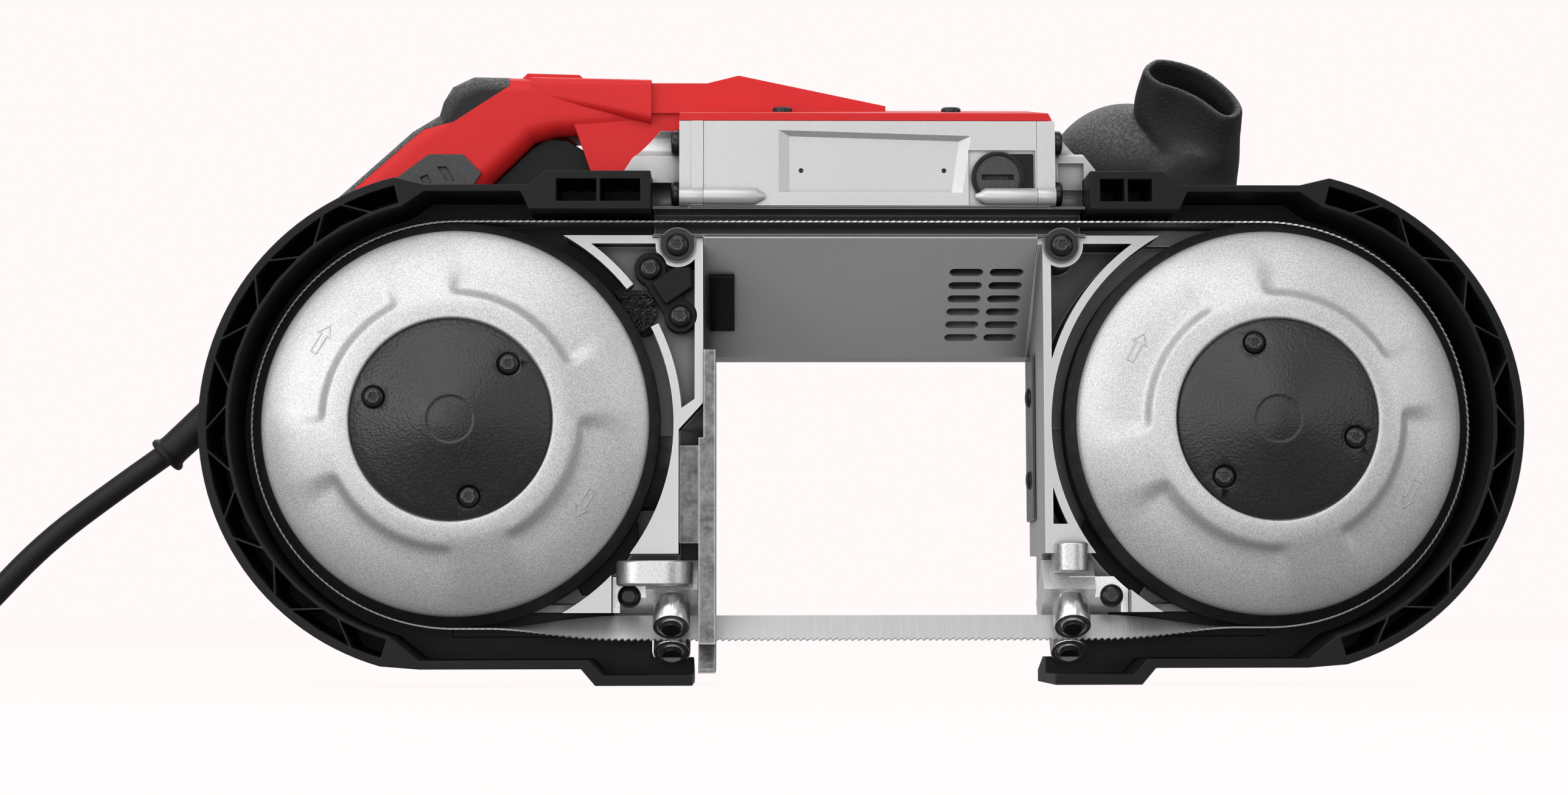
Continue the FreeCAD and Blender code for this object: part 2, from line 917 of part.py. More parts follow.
def brush_cap(face, inner, outward):
    """A slotted screw plug; outward is the sign of depth that leaves the housing."""
    proud = face + outward * brush_cap_proud
    inside = face - outward * brush_recess_depth
    low, high = sorted((proud, inside))
    head = rod_y(brush_place, motor_height, brush_cap_radius, low, high)
    low, high = sorted((inside, inner))
    neck = rod_y(brush_place, motor_height, brush_cap_neck, low, high)
    slot_floor = proud - outward * brush_cap_slot_depth
    low, high = sorted((proud + outward * overrun, slot_floor))
    half = brush_cap_radius * brush_cap_slot_share
    slot = block(brush_place - half, brush_place + half, low, high, motor_height - brush_cap_slot / 2,
                 motor_height + brush_cap_slot / 2)
    return head.fuse(neck).removeSplitter().cut(slot)


def brush_caps():
    return Part.makeCompound([
        brush_cap(housing_front, cap_front_inner, -1),
        brush_cap(housing_rear, cap_rear_inner, 1),
    ])


# Motor housing

def housing_section():
    return [
        (housing_front, channel_high + seat_gap),
        (housing_front, housing_front_top),
        (housing_roof_front, housing_roof),
        (housing_roof_rear, housing_roof),
        (housing_rear, housing_rear_top),
        (housing_rear, housing_rear_low),
        (housing_base_rear, housing_base),
        (housing_base_front, housing_base),
        (slant_top_depth, slant_top),
        (slant_top_depth, channel_low - seat_gap),
        (channel_notch_depth, channel_low - seat_gap),
        (channel_notch_depth, channel_high + seat_gap),
    ]


def on_slant(x, share, length, width, thick, below):
    """A box laid in the slanted underside: its long side along X, at a share of the slope from its top."""
    depth = slant_top_depth + slant_run * share
    z = slant_top - slant_drop * share
    box = Part.makeBox(length, width, thick, point(x - length / 2, depth - width / 2, z - below))
    box.rotate(point(x, depth, z), X_AXIS, -slant_angle)
    return box


def vent(x, share):
    middle = on_slant(x, share, vent_length - vent_width, vent_width, 2 * housing_wall + vent_width,
                      housing_wall)
    depth = slant_top_depth + slant_run * share
    z = slant_top - slant_drop * share
    normal = direction(0, math.sin(math.radians(slant_angle)), math.cos(math.radians(slant_angle)))
    reach = 2 * housing_wall + vent_width
    ends = []
    for side in (-1, 1):
        base = point(x + side * (vent_length - vent_width) / 2, depth, z) - normal * housing_wall
        ends.append(Part.makeCylinder(vent_width / 2, reach, base, normal))
    return middle.fuse(ends)


def housing_boss(end, inward):
    """A bolt boss on the front face: a straight tube and a tapered tip towards the middle."""
    straight = end + inward * (boss_reach - boss_taper)
    tube = rod_x(housing_front, boss_height, boss_radius, min(end, straight), max(end, straight))
    tip = Part.makeCone(boss_radius, boss_radius * boss_tip_share, boss_taper,
                        point(straight, housing_front, boss_height),
                        direction(inward, 0, 0))
    return [tube, tip]


def panel_ring(grow, depth):
    """Outline of the plate recess, drawn in by the bevel times the negative of grow, at a depth."""
    left = panel_left - grow * panel_side_bevel
    low = panel_low - grow * panel_low_bevel
    high = panel_high + grow * panel_top_bevel
    fall = panel_fall / (panel_right - panel_left)
    lean = panel_lean / (panel_high - panel_low)
    right_low = panel_right - panel_lean + grow * panel_side_bevel - lean * (panel_low - low)
    right_high = panel_right + grow * panel_side_bevel + lean * (high - panel_high)
    corners = [
        (left, low),
        (right_low, low),
        (right_high, high - fall * (right_high - left)),
        (left, high),
    ]
    return Part.makePolygon([point(x, depth, z) for x, z in corners + corners[:1]])


def motor_housing():
    """A die-cast box with the motor bore, a hollow under it, vents and a bare plate recess."""
    body = bar(housing_section(), housing_left, housing_right)
    body = join([body] + housing_boss(housing_left, 1) + housing_boss(housing_right, -1))
    bore = rod_x(motor_depth, motor_height, field_radius, housing_left + housing_wall,
                 housing_right - housing_wall)
    bearing_seats = [
        rod_x(motor_depth, motor_height, front_bearing_radius, front_bearing_left,
              housing_left + 2 * housing_wall),
        rod_x(motor_depth, motor_height, end_bearing_radius, housing_right - 2 * housing_wall,
              end_bearing_right),
        rod_x(motor_depth, motor_height, armature_shaft + seat_gap, housing_left - overrun,
              front_bearing_left),
    ]
    inset = housing_wall / math.sin(math.radians(slant_angle))
    hollow_top = motor_height - field_radius
    hollow = bar([
        (slant_top_depth + inset + slant_run * (slant_top - hollow_top) / slant_drop, hollow_top),
        (housing_base_front + housing_wall, housing_base + housing_wall),
        (housing_base_rear - housing_wall, housing_base + housing_wall),
        (housing_rear - housing_wall, housing_rear_low + housing_wall),
        (housing_rear - housing_wall, hollow_top),
    ], housing_left + housing_wall, housing_right - housing_wall)
    joined = block(housing_left + housing_wall, housing_right - housing_wall, motor_depth - brush_length,
                   motor_depth + brush_length, hollow_top - overrun, hollow_top + brush_width)
    cuts = [bore, hollow, joined] + bearing_seats
    for row in range(vent_rows):
        for column in range(vent_columns):
            cuts.append(vent(vent_first_x + vent_column_pitch * column,
                             vent_first_share + vent_pitch * row / slant_length))
    cuts.append(Part.makeLoft([panel_ring(1, housing_front - panel_depth),
                               panel_ring(-1, housing_front + panel_depth)],
                              True, True))
    for x in (plate_pin_first, plate_pin_second):
        cuts.append(rod_y(x, plate_pin_height, plate_pin_radius, housing_front,
                          housing_front + panel_depth + plate_pin_depth))
    cuts += [cover_screw_way(x, fit_gap, overrun) for x in (cover_screw_first, cover_screw_second)]
    cuts.append(block(brush_place - brush_recess + boss_radius, brush_place + brush_recess,
                      housing_front - overrun,
                      housing_front + brush_recess_depth, motor_height - brush_recess / 2 - boss_radius,
                      motor_height + brush_recess / 2 + boss_radius))
    for d0, d1 in ((housing_front - overrun, housing_front + brush_recess_depth),
                   (housing_rear - brush_recess_depth, housing_rear + overrun)):
        cuts.append(rod_y(brush_place, motor_height, brush_cap_radius + seat_gap, d0, d1))
    cuts.append(rod_y(brush_place, motor_height, brush_cap_neck + fit_gap, housing_front - overrun,
                      cap_front_inner))
    cuts.append(rod_y(brush_place, motor_height, brush_cap_neck + fit_gap, cap_rear_inner,
                      housing_rear + overrun))
    tube_half = brush_width / 2 + brush_box_wall + 2 * fit_gap
    tube_rise = brush_height / 2 + brush_box_wall + 2 * fit_gap
    cuts.append(brush_bar(tube_half, tube_rise, cap_front_inner, cap_rear_inner))
    cuts.append(on_slant(light_x, light_share, light_width + 2 * fit_gap, light_length + 2 * fit_gap,
                         light_depth + clear_depth, light_depth + fit_gap))
    for x in (housing_left, housing_right):
        for depth, z in bolt_places():
            cuts.append(rod_x(depth, z, bolt_shank + fit_gap, x - bolt_length, x + bolt_length))
    return cut_all(body, cuts)


def bolt_places():
    rear_depth = housing_rear - bolt_front_depth - bolt_head
    return [
        (bolt_front_depth, bolt_high),
        (bolt_front_depth, bolt_low),
        (rear_depth, bolt_low),
    ]


def work_light():
    lens = on_slant(light_x, light_share, light_width, light_length, light_depth + light_proud, light_depth)
    return lens


# Frame castings

def wheel_clear(x, radius):
    return rod_y(x, wheel_height, radius, -clear_depth, clear_depth)


def turn_with_blade(x, near, far, low, high, half_length):
    """A box in the blade's turned axes: near and far along its width, low and high across its face."""
    box = Part.makeBox(2 * half_length, far - near, high - low,
                       point(x - half_length, blade_mid + near, strand_low + low))
    box.rotate(point(x, blade_mid, strand_low), X_AXIS, blade_twist)
    return box


def guide_room(x, toward):
    """The space that a guide bracket takes out of a frame casting."""
    body = turn_with_blade(x, -clear_depth, guide_far + seat_gap, -guide_half - seat_gap,
                           guide_half + seat_gap,
                           guide_half_length + seat_gap)
    ends = sorted((x, x + toward * (guide_half_length + ear_length + seat_gap)))
    ear = block(ends[0], ends[1], frame_front - clear_depth, bracket_floor, frame_low - clear_depth,
                bracket_top)
    front = block(x - guide_half_length - seat_gap, x + guide_half_length + seat_gap,
                  frame_front - clear_depth,
                  bracket_floor, frame_low - clear_depth, bracket_top)
    return [body, ear, front]


def screw_hole(x, z, seat):
    return rod_y(x, z, screw_shank + fit_gap, seat - overrun, seat + screw_length)


def gear_case():
    """Rear casting: ribbed arm by the throat, gear rooms behind it and the spindle carrier."""
    outline = [
        (rear_plate_left, frame_top),
        (rear_arm_face, frame_top),
        (rear_arm_face, rear_arm_knee),
        (rear_arm_step_x, rear_arm_step),
        (rear_arm_step_x, frame_low),
        (rear_plate_left, frame_low),
    ]
    arm = plate(outline, frame_front, frame_back).cut(wheel_clear(rear_wheel_x, rib_radius))
    pocket = plate([
        (rear_plate_left, frame_top - rib_wall),
        (rear_arm_face - rib_wall, frame_top - rib_wall),
        (rear_arm_face - rib_wall, rear_arm_knee + rib_wall / 2),
        (rear_arm_step_x - rib_wall / 2, rear_pocket_low),
        (rear_plate_left, rear_pocket_low),
    ], frame_front - overrun, rear_pocket_floor).cut(wheel_clear(rear_wheel_x, rib_radius + rib_wall))
    pocket = pocket.cut(tab_boss(rear_tab_x))
    low_angle = math.radians(brush_gap_low)
    high_angle = math.radians(brush_gap_high)
    reach = rib_radius + 2 * rib_wall
    brush_way = plate([
        (rear_wheel_x, wheel_height),
        (rear_wheel_x + reach * math.cos(low_angle), wheel_height + reach * math.sin(low_angle)),
        (rear_wheel_x + reach * math.cos(high_angle), wheel_height + reach * math.sin(high_angle)),
    ], frame_front - overrun, rear_pocket_floor)
    arm = cut_all(arm, [pocket, brush_way] + guide_room(rear_guide_x, -1))

    column = [
        rod_x(motor_depth, motor_height, pinion_case_radius(), gear_column_left, gear_column_right),
        rod_x(counter_depth, counter_height, first_case, gear_column_left, gear_column_right),
        rod_x(pinion_depth, wheel_height, second_case, gear_column_left, gear_column_right),
        block(gear_column_left, gear_column_right, pinion_depth - second_case, pinion_depth + second_case,
              wheel_height, counter_height),
        block(gear_column_left, gear_column_right, frame_back - overrun, pinion_depth,
              frame_low + stop_corner,
              wheel_height),
    ]
    carrier = [
        rod_y(rear_wheel_x, wheel_height, crown_case_radius, crown_case_front, crown_case_rear),
        rod_x(pinion_depth, wheel_height, tunnel_radius, rear_wheel_x, gear_column_left + overrun),
        block(rear_wheel_x, gear_column_left + overrun, crown_case_front,
              crown_case_front + crown_case_wall,
              wheel_height - crown_case_radius, wheel_height + crown_case_radius),
        block(handle_boss_left, rear_wheel_x, handle_boss_front, handle_boss_rear, handle_boss_low,
              handle_boss_high),
    ]
    shoulder = [
        plate(shoulder_outline(0), shoulder_front, shoulder_rear),
        block(rear_block_end + seat_gap, gear_column_right, shoulder_front, shoulder_rear,
              channel_high + seat_gap,
              guard_block_top + overrun),
        bar(housing_section(), gear_column_right - flange_thick, gear_column_right),
        rod_x(housing_front, boss_height, boss_radius, gear_column_right - flange_thick, gear_column_right),
        block(gear_column_right - band_width, gear_column_right, housing_front - band_proud,
              housing_front + overrun,
              channel_high + seat_gap, housing_front_top),
        block(gear_column_left, gear_column_right, guard_clear, shoulder_rear, counter_height,
              guard_block_top + overrun),
    ]
    body = join([arm] + column + carrier + shoulder)

    room_low = gear_room_left
    room_high = gear_room_right
    pinion_room = first_module * (first_pinion_teeth / 2 + 1) + gear_tip_gap
    cuts = [
        rod_x(motor_depth, motor_height, pinion_room, room_low, room_high),
        rod_x(counter_depth, counter_height, first_tip + gear_tip_gap, room_low, room_high),
        rod_x(pinion_depth, wheel_height, second_tip + gear_tip_gap, room_low, room_high),
        block(room_low, room_high, motor_depth - pinion_room, motor_depth + pinion_room, counter_height,
              motor_height),
        rod_x(motor_depth, motor_height, armature_shaft + seat_gap, room_high - overrun,
              gear_column_right + overrun),
        rod_y(rear_wheel_x, wheel_height, crown_case_radius - crown_case_wall,
              spindle_front_bearing + spindle_bearing_length,
              spindle_rear_bearing),
        rod_y(rear_wheel_x, wheel_height, spindle_bearing_radius, spindle_front_bearing,
              spindle_rear_bearing + spindle_bearing_length),
        rod_y(rear_wheel_x, wheel_height, spindle_radius + seat_gap, crown_case_front - overrun,
              spindle_rear + seat_gap),
        rod_x(pinion_depth, wheel_height, tunnel_radius - crown_case_wall, rear_wheel_x, gear_column_left),
    ]
    for depth, z in ((counter_depth, counter_height), (pinion_depth, wheel_height)):
        for place in (gear_room_left - gear_bearing_length, gear_room_right):
            cuts.append(rod_x(depth, z, gear_bearing_radius, place, place + gear_bearing_length))
    cuts.append(rod_x(pinion_depth, wheel_height, gear_shaft_radius + seat_gap,
                      gear_column_left - overrun, room_low))
    for depth, z in bolt_places():
        cuts.append(rod_x(depth, z, bolt_shank + fit_gap, gear_column_right - 2 * flange_thick,
                          gear_column_right + overrun))
        cuts.append(rod_x(depth, z, bolt_head + seat_gap, gear_column_right - flange_thick - clear_depth,
                          gear_column_right - flange_thick))
    for sx, sz, seat in rear_screw_seats():
        cuts.append(screw_hole(sx, sz, seat))
    cuts += brush_holder_body(seat_gap, -clear_depth, rear_pocket_floor)
    cuts.append(rod_y(rear_wheel_x, wheel_height, rib_radius, -clear_depth, tyre_rear + 2 * run_gap))
    cuts.append(tab_room())
    cuts.append(channel_room())
    return cut_all(body, cuts)


def channel_room():
    return block(channel_left - seat_gap, channel_right + seat_gap, housing_front - clear_depth,
                 channel_notch_depth,
                 channel_low - seat_gap, channel_high + seat_gap)


def tab_room():
    return block(-clear_depth, clear_depth, -clear_depth, frame_front, 0, channel_low)


def tab_boss(x):
    """The solid corner behind a channel tab, with a rounded end."""
    drop = channel_low - tab_drop
    half = tab_width / 2 + rib_wall / 2
    square = block(x - half, x + half, frame_front - clear_depth, frame_back, drop, frame_top)
    round_end = rod_y(x, drop, half, frame_front - clear_depth, frame_back)
    return square.fuse(round_end)


def bracket_outline():
    """Corners of the front casting's bracket beside the front handle, from the flange round to its foot."""
    return [
        (housing_right + seat_gap, bracket_top_z),
        (bracket_top_x, bracket_top_z),
        (bracket_knee_x, bracket_knee_z),
        (bracket_shelf_x, bracket_knee_z),
        (bracket_end_x, bracket_end_z),
        (bracket_end_x, guard_block_top + seat_gap),
    ]


def front_frame():
    """Front casting: ribbed arm by the throat and a closed box behind the idler for the tension carriage."""
    outline = [
        (front_arm_face, frame_low),
        (front_plate_right, frame_low),
        (front_plate_right, frame_top),
        (front_arm_face, frame_top),
    ]
    arm = plate(outline, frame_front, frame_back).cut(wheel_clear(front_wheel_x, rib_radius))
    rib = wheel_clear(front_wheel_x, rib_radius + rib_wall)
    wall = front_arm_face + rib_wall
    pockets = [
        plate([(wall, front_pocket_low), (front_plate_right, front_pocket_low),
               (front_plate_right, frame_top - rib_wall), (wall, frame_top - rib_wall)],
              frame_front - overrun, front_pocket_floor).cut(rib).cut(tab_boss(front_tab_x)),
        plate([(wall, small_pocket_low), (front_plate_right, small_pocket_low),
               (wall, small_pocket_high + rib_wall)],
              frame_front - overrun, front_pocket_floor).cut(rib),
        plate([(low_pocket_left + ear_length, low_pocket_low), (front_plate_right, low_pocket_low),
               (low_pocket_left, low_pocket_high)], frame_front - overrun, front_pocket_floor).cut(rib),
    ]
    arm = cut_all(arm, pockets + guide_room(front_guide_x, 1))
    rear = [
        block(front_arm_face, front_arm_back, frame_back - overrun, front_arm_rear, bracket_top, frame_top),
        block(tension_case_left - overrun, tension_case_right, tension_case_front, tension_case_rear,
              wheel_height - tension_case_half_height, wheel_height + tension_case_half_height),
        bar(housing_section(), housing_right + seat_gap, housing_right + seat_gap + front_flange_thick),
        rod_x(housing_front, boss_height, boss_radius, housing_right + seat_gap,
              housing_right + seat_gap + front_flange_thick),
        block(front_arm_face, handle_seat_right, tension_case_front, front_arm_rear, wheel_height,
              frame_top),
        block(handle_seat_left, handle_seat_right, guard_clear, handle_seat_rear, frame_top - overrun,
              handle_seat_top),
        plate(bracket_outline() + [(front_block_end - seat_gap, guard_block_top + seat_gap),
                                   (front_block_end - seat_gap, channel_high + seat_gap),
                                   (housing_right + seat_gap, channel_high + seat_gap)], bracket_front,
                                   bracket_rear),
        block(housing_right + seat_gap, handle_seat_left + overrun, guard_clear, bracket_rear,
              frame_top - overrun,
              handle_seat_top),
    ]
    body = join([arm] + rear)
    cavity_low = wheel_height - carriage_half_height - run_gap
    cavity_high = wheel_height + carriage_half_height + run_gap
    boss_left = front_wheel_x - tension_travel
    cuts = [
        block(tension_case_left + tension_case_wall, tension_case_right - tension_case_wall,
              carriage_front - run_gap,
              carriage_rear + run_gap, cavity_low, cavity_high),
        rod_y(front_wheel_x, wheel_height, carriage_boss + run_gap, 0, carriage_rear),
        rod_y(boss_left, wheel_height, carriage_boss + run_gap, 0, carriage_rear),
        block(boss_left, front_wheel_x, 0, carriage_rear, wheel_height - carriage_boss - run_gap,
              wheel_height + carriage_boss + run_gap),
        rod_y(lever_x, wheel_height, lever_shaft + fit_gap, carriage_rear, tension_case_rear + overrun),
    ]
    cuts.append(block(bracket_pocket_left, bracket_pocket_right, bracket_front - overrun,
                      bracket_front + bracket_pocket_depth,
                      bracket_pocket_low, bracket_pocket_high))
    flange = housing_right + seat_gap
    for depth, z in bolt_places():
        cuts.append(rod_x(depth, z, bolt_shank + fit_gap, flange - overrun,
                          flange + 2 * front_flange_thick))
        cuts.append(rod_x(depth, z, bolt_head + seat_gap, flange + front_flange_thick,
                          flange + clear_depth))
    for sx, sz, seat in front_screw_seats():
        cuts.append(screw_hole(sx, sz, seat))
    for sz in arm_plate_screws():
        cuts.append(rod_x(arm_plate_middle, sz, screw_shank + fit_gap, front_arm_face - overrun,
                          front_arm_face + screw_length))
    cuts.append(tab_room())
    cuts.append(channel_room())
    return cut_all(body, cuts)


def tension_carriage():
    """Sliding block that carries the idler's axle, with a slot for the lever's crank."""
    body = block(carriage_left, carriage_right, carriage_front, carriage_rear,
                 wheel_height - carriage_half_height,
                 wheel_height + carriage_half_height)
    boss = rod_y(front_wheel_x, wheel_height, carriage_boss, carriage_boss_front, carriage_rear)
    crank = tension_travel / 2
    half_slot = lever_crank_radius + yoke_slack
    slot_x = lever_x + crank
    slot = block(slot_x - half_slot, slot_x + half_slot, carriage_front - overrun, carriage_rear + overrun,
                 wheel_height - crank - 2 * half_slot, wheel_height + crank + 2 * half_slot)
    bore = rod_y(front_wheel_x, wheel_height, axle_radius, -clear_depth, clear_depth)
    return cut_all(join([body, boss]), [slot, bore])


def idler_axle():
    return rod_y(front_wheel_x, wheel_height, axle_radius, axle_front, carriage_rear)


def idler_bearings():
    return Part.makeCompound([
        bearing_y(front_wheel_x, wheel_height, idler_bearing_radius, axle_radius + fit_gap, place,
                  idler_bearing_length)
        for place in (idler_front_bearing, idler_rear_bearing)
    ])


def tension_lever():
    """Swinging arm on the rear face with its shaft and crank pin."""
    face = tension_case_rear + run_gap
    root = rod_y(lever_x, wheel_height, lever_root, face, face + lever_thick)
    tip_x = lever_x + lever_length
    tip = rod_y(tip_x, wheel_height, lever_tip, face, face + lever_thick)
    arm = plate([
        (lever_x, wheel_height - lever_root),
        (tip_x, wheel_height - lever_tip),
        (tip_x, wheel_height + lever_tip),
        (lever_x, wheel_height + lever_root),
    ], face, face + lever_thick)
    shaft = rod_y(lever_x, wheel_height, lever_shaft, carriage_rear + run_gap, face)
    pin = rod_y(lever_x + tension_travel / 2, wheel_height, lever_crank_radius, carriage_front,
                carriage_rear + run_gap)
    return join([root, tip, arm, shaft, pin])


# Wound tubes

def biarc(start, start_way, end, end_way):
    """Two arcs that leave start and reach end along the given directions."""
    span = end - start
    ways = start_way + end_way
    spread = 2 * (1 - start_way.dot(end_way))
    root = span.dot(ways) ** 2 + spread * span.dot(span)
    reach = (math.sqrt(root) - span.dot(ways)) / spread
    first = start + start_way * reach
    second = end - end_way * reach
    middle = (first + second) * 0.5
    return [arc_from(start, start_way, middle), arc_from(middle, (second - first).normalize(), end)]


def arc_from(start, way, end):
    """The arc that leaves start along a direction and passes through end."""
    chord = end - start
    across = chord - way * chord.dot(way)
    if across.Length < fit_gap * fit_gap:
        return Part.LineSegment(start, end).toShape()
    across.normalize()
    radius = chord.dot(chord) / (2 * chord.dot(across))
    centre = start + across * radius
    middle = (start + end) * 0.5 - centre
    middle.normalize()
    if chord.dot(way) < 0:
        middle = middle * -1
    return Part.Arc(start, centre + middle * radius, end).toShape()


def tube(edges, radius):
    """A round tube along a chain of edges, swept without twist."""
    path = Part.Wire(edges)
    start = edges[0].valueAt(edges[0].FirstParameter)
    way = edges[0].tangentAt(edges[0].FirstParameter)
    ring = Part.Wire([Part.Circle(start, way, radius).toShape()])
    solid = path.makePipeShell([ring], True, False)
    expected = math.pi * radius * radius * path.Length
    print("  tube length", round(path.Length, 1), "volume share", round(solid.Volume / expected, 4))
    return solid


def spring():
    left = tension_case_left + tension_case_wall + spring_wire + fit_gap
    right = carriage_left - spring_wire - fit_gap
    middle = (carriage_front + carriage_rear) / 2
    quarters = 4 * spring_turns
    edges = []
    rise = (right - left) / quarters
    slope = rise / (math.pi / 2 * spring_radius)

    def at(i):
        turn = math.pi / 2 * i
        return point(left + rise * i, middle + spring_radius * math.cos(turn),
                     wheel_height + spring_radius * math.sin(turn))

    def way(i):
        turn = math.pi / 2 * i
        return direction(slope, -math.sin(turn), math.cos(turn)).normalize()

    for i in range(quarters):
        edges += biarc(at(i), way(i), at(i + 1), way(i + 1))
    return tube(edges, spring_wire)


# Handle

# Each row is one section of the grip: outer, then inner point, as shares of the handle's length and height
grip_shares = [
    ((1.000, 0.976), (1.000, 0.824)),
    ((0.844, 0.983), (0.868, 0.809)),
    ((0.707, 0.989), (0.772, 0.805)),
    ((0.641, 0.992), (0.716, 0.785)),
    ((0.566, 0.994), (0.671, 0.729)),
    ((0.514, 0.962), (0.644, 0.695)),
    ((0.492, 0.916), (0.619, 0.664)),
    ((0.482, 0.872), (0.587, 0.622)),
    ((0.417, 0.821), (0.545, 0.580)),
    ((0.307, 0.694), (0.455, 0.495)),
    ((0.228, 0.603), (0.383, 0.420)),
    ((0.120, 0.405), (0.287, 0.275)),
    ((0.042, 0.229), (0.228, 0.137)),
    ((0.000, 0.092), (0.174, 0.000)),
]
# Edge between the rubber and the red plastic, from the top of the palm stop to the end of the grip
overmould_edge_shares = [
    (0.6455, 1.5),
    (0.6455, 1.04),
    (0.657, 0.958),
    (0.520, 0.843),
    (0.447, 0.821),
    (0.289, 0.644),
    (0.257, 0.588),
    (0.150, 0.389),
    (0.072, 0.221),
    (0.030, 0.085),
    (0.020, 0.000),
    (-0.5, 0.000),
    (-0.5, 1.5),
]
# Corners of the dark insert on each side of the grip, and of the two slots in it
panel_shares = [(0.380, 0.663), (0.462, 0.741), (0.5455, 0.740), (0.589, 0.682), (0.545, 0.595),
                (0.443, 0.580)]
slot_shares = [
    [(0.482, 0.701), (0.505, 0.701), (0.525, 0.656), (0.505, 0.656)],
    [(0.440, 0.667), (0.459, 0.677), (0.470, 0.649), (0.450, 0.649)],
]


def handle_point(shares):
    x = handle_far + (handle_near - handle_far) * shares[0]
    z = handle_low + (handle_top - handle_low) * shares[1]
    return x, z


def rounded_section(outer, inner, half_width, round_radius):
    """A rounded rectangle that stands across the handle between an outer and an inner point."""
    ox, oz = outer
    ix, iz = inner
    height = math.hypot(ox - ix, oz - iz)
    up = direction((ox - ix) / height, 0, (oz - iz) / height)
    base = point(ix, motor_depth, iz)
    r = min(round_radius, height / 2 - run_gap, half_width - run_gap)
    c = r * (1 - math.sqrt(0.5))

    def at(across, along):
        return base + Y_AXIS * across + up * along

    w = half_width
    edges = []
    corners = [
        (at(-w + r, 0), at(w - r, 0), at(w - c, c), at(w, r)),
        (at(w, r), at(w, height - r), at(w - c, height - c), at(w - r, height)),
        (at(w - r, height), at(-w + r, height), at(-w + c, height - c), at(-w, height - r)),
        (at(-w, height - r), at(-w, r), at(-w + c, c), at(-w + r, 0)),
    ]
    for start, turn, middle, end in corners:
        edges.append(Part.LineSegment(start, turn).toShape())
        edges.append(Part.Arc(turn, middle, end).toShape())
    return Part.Wire(edges)


def grip_body():
    wires = [rounded_section(handle_point(outer), handle_point(inner), grip_half_width, grip_round)
             for outer, inner in grip_shares]
    return Part.makeLoft(wires, True, True)


def beam_body():
    """The wider top of the handle, which runs out into the grip, and the low pad on it."""
    left = handle_point(grip_shares[2][0])
    right = handle_point(grip_shares[0][0])
    thin = rounded_section(left, (left[0], left[1] - beam_left_height), grip_half_width - run_gap,
                           beam_round)
    thick = rounded_section(right, (right[0], right[1] - beam_right_height), beam_half_width, beam_round)
    beam = Part.makeLoft([thin, thick], True, True)
    top = left[1] + pad_height
    pad = plate([
        (pad_left, left[1] - pad_height),
        (pad_left + 2 * pad_height, top),
        (pad_right - 2 * pad_height, top - pad_height / 4),
        (pad_right, left[1] - pad_height),
    ], motor_depth - pad_half_width, motor_depth + pad_half_width)
    return join([beam, pad])


def shoulder_outline(grow):
    """Corners of the gear case's rounded shoulder in front of the handle, grown outwards."""
    return [
        (gear_column_right, guard_block_top + seat_gap),
        (gear_column_right, shoulder_top + grow),
        (shoulder_flat - grow / 2, shoulder_top + grow),
        (shoulder_left + bolt_head - grow, shoulder_knee + grow / 2),
        (shoulder_left - grow, guard_block_top + seat_gap),
    ]


def pinion_case_radius():
    return first_module * first_pinion_teeth / 2 + first_module + gear_tip_gap + gear_case_wall


def cheek_body():
    """The red cheek that closes the handle between the trigger and the gear case."""
    outline = [
        (trigger_right, cheek_low),
        (trigger_right, trigger_low + (trigger_high - trigger_low) / 2),
        (switch_x, switch_z),
        (gear_column_right - flange_thick - seat_gap, switch_z),
        (gear_column_right - flange_thick - seat_gap, shoulder_top),
        (shoulder_left, cheek_low),
    ]
    cheek = plate(outline, motor_depth - cheek_half_width, motor_depth + cheek_half_width)
    case = rod_x(motor_depth, motor_height, pinion_case_radius() + seat_gap, gear_column_left - seat_gap,
                 gear_column_right)
    return cheek.cut([plate(shoulder_outline(seat_gap), -clear_depth, clear_depth), case])


def overmould_band():
    """Everything behind the edge between the rubber and the red plastic."""
    return plate([handle_point(shares) for shares in overmould_edge_shares], -clear_depth / 4,
                 clear_depth / 2)


def trigger_outline(grow, shift):
    """The trigger's side view, as shares of its size, grown outwards and moved along its travel."""
    shares = [(0.0, 0.32), (0.4, 0.86), (0.56, 1.0), (0.76, 0.97), (0.98, 0.78), (1.0, 0.49), (0.8, 0.22),
              (0.32, 0.0)]
    length = trigger_right - trigger_left
    height = trigger_high - trigger_low
    middle_x = (trigger_left + trigger_right) / 2
    middle_z = (trigger_low + trigger_high) / 2
    outline = []
    for a, b in shares:
        x = trigger_left + length * a
        z = trigger_low + height * b
        reach = math.hypot(x - middle_x, z - middle_z)
        outline.append((x + grow * (x - middle_x) / reach, z + grow * (z - middle_z) / reach))
    way_x = -math.cos(math.radians(trigger_lean)) * shift
    way_z = math.sin(math.radians(trigger_lean)) * shift
    return [(x + way_x, z + way_z) for x, z in outline]


def trigger():
    return plate(trigger_outline(0, 0), motor_depth - trigger_width / 2, motor_depth + trigger_width / 2)


def trigger_room():
    half = trigger_width / 2 + trigger_gap
    grow = 2 * trigger_gap
    rooms = []
    steps = 4
    for i in range(steps + 1):
        outline = trigger_outline(grow, (trigger_travel + grow) * i / steps)
        rooms.append(plate(outline, motor_depth - half, motor_depth + half))
    return rooms


def switch_room(grow):
    return block(switch_x - switch_length / 2 - grow, switch_x + switch_length / 2 + grow,
                 motor_depth - switch_width / 2 - grow, motor_depth + switch_width / 2 + grow,
                 switch_z - switch_height / 2 - grow, switch_z + switch_height / 2 + grow)


def switch_body():
    return switch_room(0)


